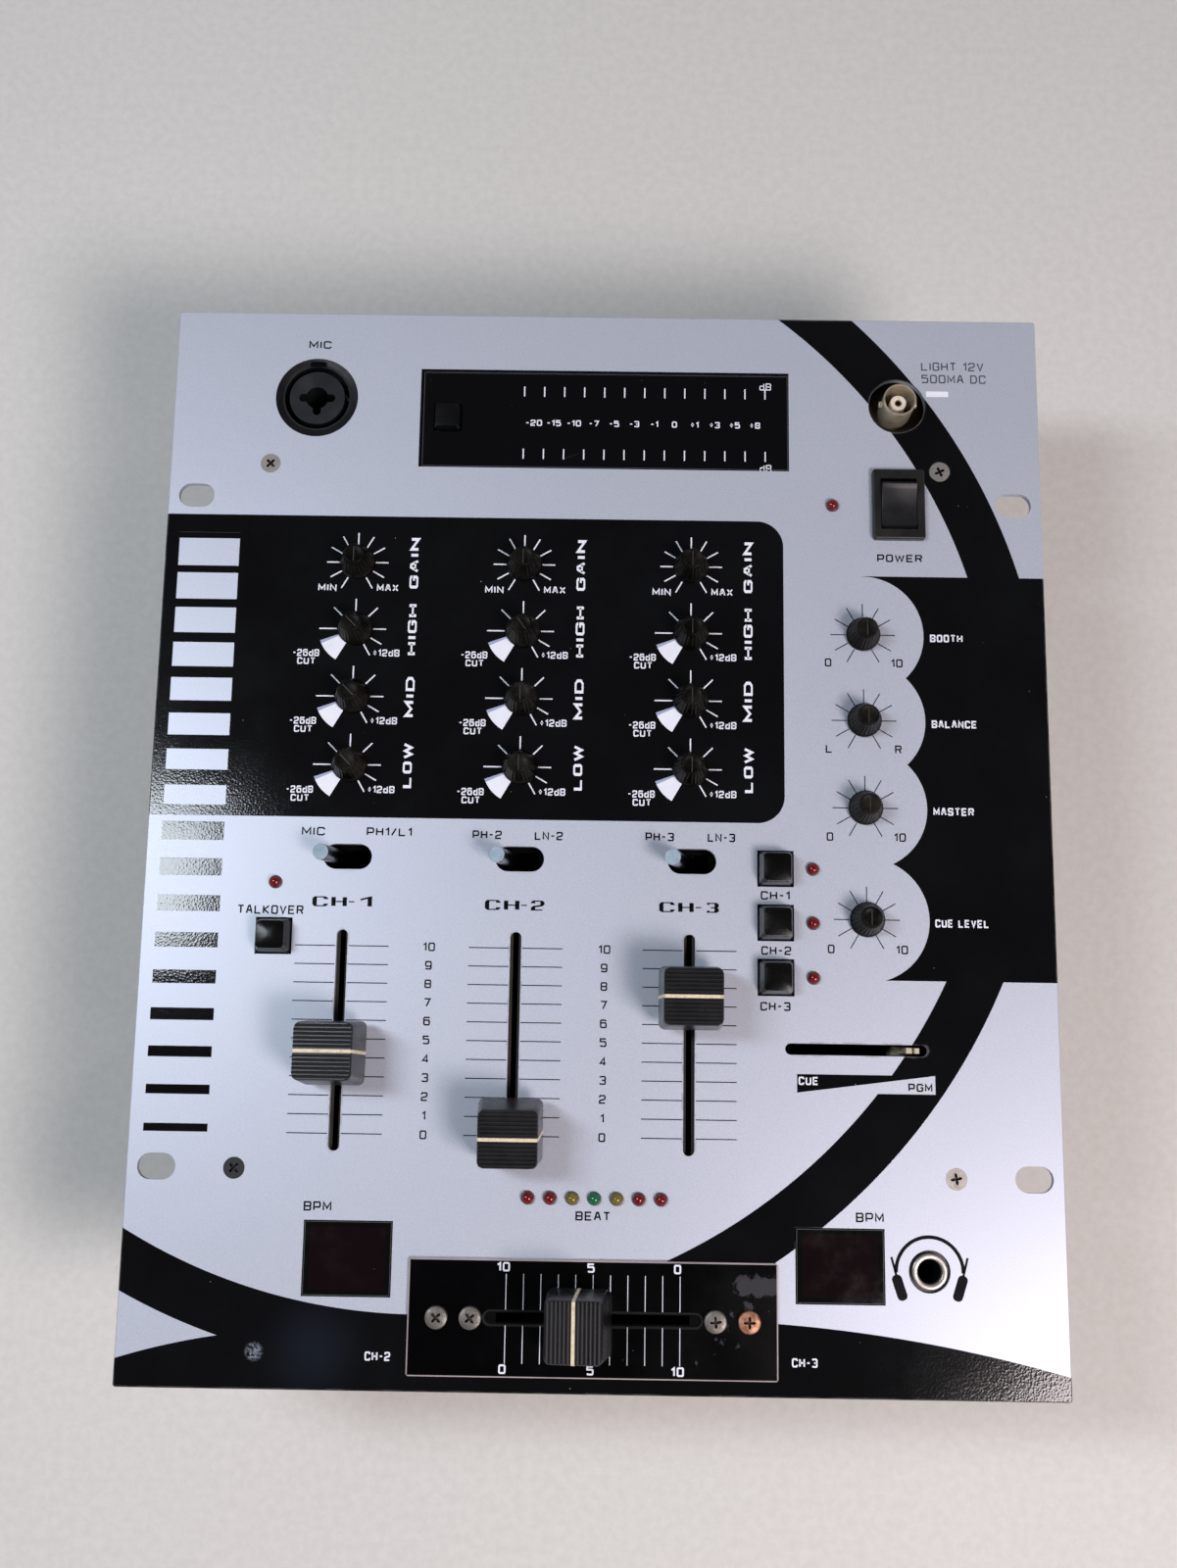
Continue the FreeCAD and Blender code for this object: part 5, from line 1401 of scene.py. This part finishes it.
def lamps(node, places, material):
    """Domed indicator lamps with their flanges and leads."""
    low, high = box_mm(node)
    form = bmesh.new()
    seat = PLATE_TOP - LED_SEAT
    flange = [(0, seat), (2.2, seat), (2.3, seat + 0.1), (2.3, seat + 0.9), (2.2, seat + 1.0),
              (LED_R, seat + 1.0)]
    dome = [ray((0, high.z - LED_R), angle, LED_R) for angle in range(0, 90, 10)]
    lead = [(0, low.z), (0.25, low.z), (0.25, seat + 0.3), (0, seat + 0.3)]
    for x, y in places:
        turned(form, flange + dome + [(0, high.z)], at(x, y), 40)
        for side in (-0.6, 0.6):
            turned(form, lead, at(x + side, y), 12)
    finish_piece(node + "_domes", form, material, "case", [node])


def lamp_shell(shell, base):
    """Bayonet shell with two lugs and a rolled rim, standing in a dark collar on a square foot."""
    low, high = box_mm("lamp_socket")
    place = upright_at("lamp_socket")
    foot = low.z + LAMP_FOOT
    collar = PLATE_TOP - LAMP_COLLAR_SINK
    top = high.z
    form = bmesh.new()
    stacked(form, [(13.8, 13.8, 0.4, low.z), (14.0, 14.0, 0.5, low.z + 0.2), (14.0, 14.0, 0.5, foot - 0.3),
                   (13.6, 13.6, 0.4, foot)], place)
    turned(form, [(4.7, foot - 0.1), (LAMP_COLLAR - 0.2, foot - 0.1), (LAMP_COLLAR, foot + 0.2),
                  (LAMP_COLLAR, collar - 0.4), (LAMP_COLLAR - 0.3, collar), (4.7, collar)],
           place, 72, hollow=True)
    finish_piece("lamp_socket_base", form, base, "case", ["lamp_socket"])
    tube = bmesh.new()
    turned(tube, [(4.8, foot - 0.1), (4.8, top - 0.25), (4.76, top - 0.08), (4.68, top), (4.42, top),
                  (4.34, top - 0.08), (4.3, top - 0.25), (4.3, foot - 0.1)], place, 72, hollow=True)
    lug = [(0, 4.4), (0.95, 4.4), (0.95, 5.3), (0.86, 5.48), (0.7, 5.55), (0, 5.55)]
    for side in (-90, 90):
        turned(tube, lug, place @ at(0, 0, top - LUG_DROP) @ spin(side, "Y"), 24)
    finish_piece("lamp_socket_shell", tube, shell, "case", ["lamp_socket"])


def lamp_core(core, contact):
    """White core of the lamp socket with a brass contact let into it."""
    low, high = box_mm("lamp_socket_insulator")
    place = upright_at("lamp_socket_insulator")
    top = high.z
    form = bmesh.new()
    turned(form, [(0.95, low.z), (2.35, low.z), (2.35, top - 0.3), (2.25, top - 0.1), (2.0, top), (1.3, top),
                  (1.1, top - 0.12), (0.95, top - 0.4)], place, 48, hollow=True)
    finish_piece("lamp_socket_core", form, core, "case", ["lamp_socket_insulator"])
    ring = bmesh.new()
    turned(ring, [(0.42, top - 3.0), (0.94, top - 3.0), (0.94, top - 0.4), (0.85, top - 0.25),
                  (0.55, top - 0.3), (0.42, top - 0.55)], place, 32, hollow=True)
    finish_piece("lamp_socket_contact", ring, contact, "case")


def headphone_socket(sleeve, case):
    """Satin sleeve of the headphone socket over its black case."""
    low, high = box_mm("headphone_socket")
    place = at(*PHONES_CENTRE)
    top = high.z
    seat = PLATE_TOP - PHONES_SEAT
    form = bmesh.new()
    turned(form, [(PHONES_BORE, seat), (4.7, seat), (4.7, top - 0.16), (4.58, top - 0.03), (4.4, top),
                  (3.62, top), (3.44, top - 0.05), (3.22, top - 0.3), (PHONES_BORE, top - 0.5)],
           place, 72, hollow=True)
    finish_piece("headphone_socket_sleeve", form, sleeve, "case", ["headphone_socket"])
    shell = bmesh.new()
    sections = [(14.8, 0.5, low.z), (15.0, 0.6, low.z + 0.2), (15.0, 0.6, seat - 0.2), (14.8, 0.5, seat)]
    bored_block(shell, sections, PHONES_BORE, place)
    finish_piece("headphone_socket_case", shell, case, "case", ["headphone_socket"])


def mic_trim(lip, latch):
    """Bevelled lip of the microphone socket, and a matte black block for the painted shade in the gap at its
    release latch.
    """
    place = at(*MIC_CENTRE, box_mm("mic_combo_socket")[1].z)
    form = bmesh.new()
    turned(form, [(9.7, -0.6), (9.8, -0.15), (10.0, 0.02), (10.9, 0.2), (11.7, 0.5), (12.0, 0.55),
                  (12.1, 0.42), (11.86, 0.3), (11.86, -0.6), (9.7, -0.7)], place, 96, hollow=True)
    finish_piece("mic_socket_lip", form, lip, "case")
    # painted shade: the block is near black and matte so that it reads as the dark gap at the latch
    tab = bmesh.new()
    sections = [(4.8, 1.7, 0.3, -3.0), (4.8, 1.7, 0.3, 0.26), (4.5, 1.4, 0.3, 0.34)]
    stacked(tab, sections, place @ at(0, LATCH_SHIFT))
    finish_piece("mic_socket_latch_shade", tab, latch, "case")


def screws(node, places, head, material):
    """Cross recessed screws, each turned as far as the photograph shows it."""
    low, high = box_mm(node)
    form = bmesh.new()
    shank = [(0, low.z), (SCREW_SHANK, low.z)]
    profile = shank + [(radius, high.z - depth, *flute) for radius, depth, *flute in head]
    for x, y, turn in places:
        turned(form, profile, at(x, y) @ spin(turn), 96, 4)
    finish_piece(node + "_turned", form, material, "case", [node])


def cue_lever(material):
    """Bare forked lever of the cue fader on its carriage."""
    node = "cue_fader_lever"
    low, high = box_mm(node)
    place = upright_at(node)
    deck = low.z + LEVER_DECK
    form = bmesh.new()
    stacked(form, [(8.0, 6.2, 0.4, low.z), (8.0, 6.2, 0.4, deck), (7.4, 5.6, 0.4, deck + 0.4)], place)
    for shift, width in LEVER_PRONGS:
        stacked(form, [(width, 1.6, 0.2, deck), (width, 1.6, 0.2, high.z - 0.2),
                       (width - 0.3, 1.3, 0.2, high.z)], place @ at(shift, 0))
    finish_piece(node + "_fork", form, material, node, [node])


def slot_lips(material):
    """Dust lips under the slots of the channel faders, with a gap between them for the lever."""
    form = bmesh.new()
    reach = (LIP_GAP + LIP_BREADTH) / 2
    front, back = CHANNEL_SLOT
    length = back - front
    sections = [(LIP_BREADTH, length, 0.2, -0.6), (LIP_BREADTH, length, 0.2, -0.1),
                (LIP_BREADTH - 0.2, length, 0.2, 0.0)]
    for side in (-1, 1):
        for column in COLUMNS:
            stacked(form, sections, at(column + side * reach, (front + back) / 2, PLATE_TOP - LIP_SINK))
    finish_piece("fader_dust_lips", form, material, "case")


def foot_pads(material):
    """Rubber feet with soft edges and a recess for the screw."""
    low, high = box_mm("rubber_feet")
    profile = [(1.6, 4.0), (4.5, 4.0), (4.5, 0.5), (4.7, 0.1), (5.0, 0.0), (8.5, 0.0), (8.85, 0.12),
               (9.02, 0.5), (9.9, 7.5), (9.98, 7.85), (9.8, 8.0), (1.6, 8.0)]
    form = bmesh.new()
    for x in (low.x + FOOT_REACH, high.x - FOOT_REACH):
        for y in (low.y + FOOT_REACH, high.y - FOOT_REACH):
            turned(form, profile, at(x, y), 64, hollow=True)
    finish_piece("rubber_foot_pads", form, material, "case", ["rubber_feet"])


def phono_rows(case, sleeve, rings):
    """Rear phono sockets: black cases, plated sleeves and coloured collars, one colour for each row."""
    block = [(9.8, 9.8, 0.5, -14.8), (10.0, 10.0, 0.6, -14.6), (10.0, 10.0, 0.6, -1.4),
             (9.8, 9.8, 0.5, -1.2)]
    tube = [(0, 0.9), (1.6, 0.9), (1.6, 9.1), (1.75, 9.3), (2.0, 9.4), (3.8, 9.4), (4.05, 9.3),
            (4.15, 9.0), (4.15, -1.2), (0, -1.2)]
    collar = [(1.62, 7.2), (2.4, 9.1), (3.3, 9.1), (3.3, 9.39), (1.62, 9.39)]
    cases = bmesh.new()
    sleeves = bmesh.new()
    for row, z in enumerate(PHONO_ROWS):
        collars = bmesh.new()
        for column in range(PHONO_COLUMNS):
            place = on_rear(PHONO_LEFT + PHONO_PITCH * column, z)
            stacked(cases, block, place)
            turned(sleeves, tube, place, 40)
            turned(collars, collar, place, 40, hollow=True)
        finish_piece(f"phono_collars_{row + 1}", collars, rings[row], "case")
    finish_piece("phono_cases", cases, case, "case", ["phono_sockets"])
    finish_piece("phono_sleeves", sleeves, sleeve, "case", ["phono_sockets"])


def ground_terminal(material):
    """Knurled thumb nut on its stud."""
    low, high = box_mm("ground_post")
    place = on_rear(*GROUND_POST)
    tip = high.y - REAR_FACE
    back = low.y - REAR_FACE
    form = bmesh.new()
    stud = [(0, back), (1.8, back), (2.0, back + 0.2), (2.0, 0.2), (2.0, tip - 0.3), (1.7, tip), (0, tip)]
    turned(form, stud, place, 32)
    nut = [(2.0, 0.0), (4.2, 0.0), (4.42, 0.2, 0.0), (4.5, 0.5, 0.3), (4.5, 4.4, 0.3), (4.42, 4.7, 0.1),
           (4.1, 5.0), (2.0, 5.0)]
    turned(form, nut, place, 144, 24, hollow=True)
    finish_piece("ground_thumb_nut", form, material, "case", ["ground_post"])


def inlet_pins(material):
    """Two contact pins in the mains inlet, their ends rounded."""
    x, z = INLET_CENTRE
    pin = [(0, -9.2), (1.26, -9.2), (1.26, -1.0), (1.1, -0.5), (0.7, -0.15), (0, 0.0)]
    form = bmesh.new()
    for side in (-1, 1):
        turned(form, pin, on_rear(x + side * INLET_PITCH / 2, z), 24)
    finish_piece("mains_inlet_pins", form, material, "case")


# Assembly

def add_knobs():
    """All sixteen knobs."""
    black = plain_black("knob_plastic", (4, 4, 4), (9, 9, 8), 0.36, 0.14, 0.06, 0.05, scuffed=0.3)
    line = pale_plastic("knob_pointer", (28, 28, 27), (40, 39, 37), 0.5)
    for node in KNOBS:
        knob(node, black, line)


def add_faders():
    """Channel faders and crossfader."""
    gloss = plain_black("cap_plastic", (13, 13, 15), (20, 20, 22), 0.3, 0.02, 0.4, 0.0)
    # painted sheen: the ribs are the cap's own plastic, coloured paler for the light on their crests
    matte = plain_black("cap_rib_plastic", (24, 24, 26), (36, 36, 39), 0.6, 0.05, 0.12, 0.0)
    line = pale_plastic("cap_line", (206, 190, 158), (232, 220, 192), 0.45)
    for n in CHANNELS:
        fader_cap(f"channel_fader_{n}", gloss, matte, line, 0)
    # painted sheen: paler still on the crossfader's ribs, for the light they catch
    pale = plain_black("crossfader_rib_plastic", (34, 34, 36), (50, 50, 53), 0.5, 0.05, 0.3, 0.0)
    fader_cap("crossfader", gloss, pale, line, -90)


def add_switches():
    """Toggles, buttons and the mains rocker."""
    # painted reflection: the plating's colour is darkened for the dark slot it mirrors
    shaft = metal("lever_chrome", (62, 64, 69), (86, 89, 95), 0.22, (48, 50, 54), 0.05)
    # painted reflection: the end face's blue cast is the cool left light it mirrors
    face = metal("lever_end", (138, 158, 174), (166, 184, 198), 0.62, (122, 142, 160), 0.08, 0.15)
    for n in CHANNELS:
        toggle(n, shaft, face)
    gloss = plain_black("button_plastic", (7, 7, 7), (11, 11, 11), 0.22, 0.02, 0.18, 0.0)
    for node in BUTTONS:
        push_button(node, *BUTTON_SHAPE, gloss)
    satin = plain_black("meter_button_plastic", (8, 9, 10), (12, 13, 14), 0.3, 0.02, 0.2, 0.0)
    push_button("meter_button", *METER_BUTTON_SHAPE, satin)
    rocker(plain_black("rocker_plastic", (15, 14, 17), (21, 20, 24), 0.42, 0.02, 0.36, 0.0))


def add_lamps():
    """Red, yellow and green indicator lamps."""
    # the first colour of each lens is its painted shade at the foot
    red = lamp_lens("red_lens", (44, 4, 5), (112, 18, 18))
    yellow = lamp_lens("yellow_lens", (44, 38, 12), (118, 106, 42))
    green = lamp_lens("green_lens", (6, 40, 24), (24, 104, 64))
    lamps("red_leds", RED_PLACES, red)
    lamps("yellow_leds", YELLOW_PLACES, yellow)
    lamps("green_led", GREEN_PLACES, green)


def add_sockets():
    """Sockets of the face and the back."""
    chrome = metal("bright_chrome", (186, 194, 204), (216, 222, 230), 0.12, (140, 146, 156), 0.05)
    nickel = metal("warm_nickel", (192, 180, 156), (226, 216, 196), 0.2, (150, 134, 108), 0.06, 0.65)
    bronze = metal("dark_bronze", (48, 40, 30), (76, 64, 48), 0.4, (34, 28, 22), 0.1, 0.7)
    satin = metal("satin_nickel", (156, 152, 147), (182, 178, 173), 0.28, (120, 116, 110), 0.06, 0.8)
    brass = metal("brass_contact", (120, 88, 44), (160, 124, 68), 0.3, (84, 60, 32), 0.1)
    dark = plain_black("socket_plastic", (12, 13, 16), (20, 22, 27), 0.38, 0.04)
    cream = pale_plastic("cream_plastic", (212, 201, 186), (236, 226, 212), 0.4)
    lamp_shell(nickel, bronze)
    lamp_core(cream, brass)
    headphone_socket(satin, dark)
    # painted shade: near black matte plastic for the gap at the mic socket's latch
    pitch = plain_black("latch_gap_shade", (3, 3, 4), (5, 5, 6), 0.7, 0.02, 0.05, 0.0)
    mic_trim(plain_black("mic_lip_plastic", (9, 10, 12), (15, 16, 19), 0.42, 0.03, 0.22, 0.0), pitch)
    collars = [pale_plastic("red_collar", (120, 24, 22), (160, 38, 34), 0.4),
               pale_plastic("white_collar", (196, 194, 188), (224, 222, 216), 0.4)]
    phono_rows(dark, chrome, collars)
    inlet_pins(chrome)
    dress(dark, "mic_combo_socket", "mains_inlet")


def add_case():
    """Plate, sheet work, screws, windows, the bare cue lever, dust lips and what lies inside."""
    dress(face_paint(), "face_plate")
    paint = plain_black("chassis_paint", (22, 22, 24), (32, 32, 34), 0.48, 0.08, pebble=0.9 * MM)
    dress(paint, "chassis_tray", "rear_panel")
    zinc = metal("zinc_steel", (118, 118, 120), (170, 170, 170), 0.36, (86, 84, 82))
    dress(zinc, "chassis_screws", "board_standoffs")
    ground_terminal(zinc)
    screws("face_plate_screws", PLATE_SCREWS, FLAT_HEAD, plate_screw_steel())
    screws("crossfader_screws", CROSS_SCREWS, PAN_HEAD, crossfader_screw_steel())
    cue_lever(metal("lever_steel", (196, 188, 160), (230, 223, 198), 0.3, (140, 130, 104), 0.12, 0.5))
    slot_lips(plain_black("lip_rubber", (40, 38, 34), (56, 54, 48), 0.6, 0.08, 0.2))
    dress(metal("core_steel", (84, 84, 88), (116, 116, 120), 0.5, (66, 58, 50)), "power_transformer")
    dress(black_plate(), "crossfader_plate")
    dress(plain_black("frame_plastic", (12, 12, 13), (18, 18, 19), 0.42, 0.04), "rocker_frame")
    hidden = plain_black("switch_case", (4, 4, 4), (7, 7, 7), 0.7, 0.02, 0.05, 0.0)
    dress(hidden, "pot_bodies", "fader_bodies", "toggle_switch_bodies", "button_switch_bodies",
          "display_modules")
    dress(circuit_board(), "control_board", "jack_board")
    dress(window_acrylic(), "meter_window")
    dress(red_acrylic(), "tempo_windows")
    foot_pads(plain_black("foot_rubber", (22, 22, 22), (34, 34, 34), 0.7, 0.2))


# Floor, light and camera

def add_floor():
    """Plain pale floor."""
    material, tree, shader = new_finish("pale_floor")
    grain = use(tree, GRAIN, Size=3 * MM)
    colour = blend(grain, (214, 212, 208), (222, 220, 216))
    set_finish(shader, Base_Color=colour, Roughness=0.8)
    form = bmesh.new()
    stacked(form, [(*FLOOR_SIZE, -FLOOR_THICK), (*FLOOR_SIZE, 0.0)], at(0, 0))
    floor = add_object("floor", mesh_of("floor", form, material))


def add_light(name, place, size, power, colour):
    """Soft light aimed at the middle of the face plate."""
    light = bpy.data.lights.new(name, "AREA")
    light.shape = "RECTANGLE"
    light.size, light.size_y = size
    light.energy = power
    light.color = colour
    holder = add_object(name, light)
    holder.location = place
    aim = Vector((0, 0, PLATE_TOP * MM)) - Vector(place)
    holder.rotation_euler = aim.to_track_quat("-Z", "Y").to_euler()


def add_world():
    """Room light: dim overhead and pale towards the horizon."""
    world = bpy.data.worlds.new("room")
    world.use_nodes = True
    tree = world.node_tree
    up = add_node(tree, "SeparateXYZ", {0: add_node(tree, "TexCoord").outputs["Generated"]}).outputs[2]
    colour = blend(ramp(up, ROOM_LOW, ROOM_HIGH), ROOM_PALE, ROOM_DIM)
    feed(tree.nodes["Background"].inputs["Color"], colour)
    bpy.context.scene.world = world


def add_camera():
    """Camera at the photograph's place and angle."""
    data = bpy.data.cameras.new("camera")
    data.sensor_width = SENSOR
    data.lens = SENSOR * FOCAL_PIXELS / max(PHOTO_SIZE)
    right = Vector(CAMERA_RIGHT).normalized()
    back = right.cross(Vector(CAMERA_UP)).normalized()
    aim = Matrix((right, back.cross(right), back)).transposed().to_4x4()
    camera = add_object("camera", data)
    camera.matrix_world = Matrix.Translation(Vector(CAMERA_PLACE) * MM) @ aim
    bpy.context.scene.camera = camera


add_case()
add_knobs()
add_faders()
add_switches()
add_lamps()
add_sockets()
add_marks()
add_floor()
for light_name, light_settings in LIGHTS.items():
    add_light(light_name, *light_settings)
add_world()
add_camera()
bpy.context.scene.view_settings.view_transform = "Standard"
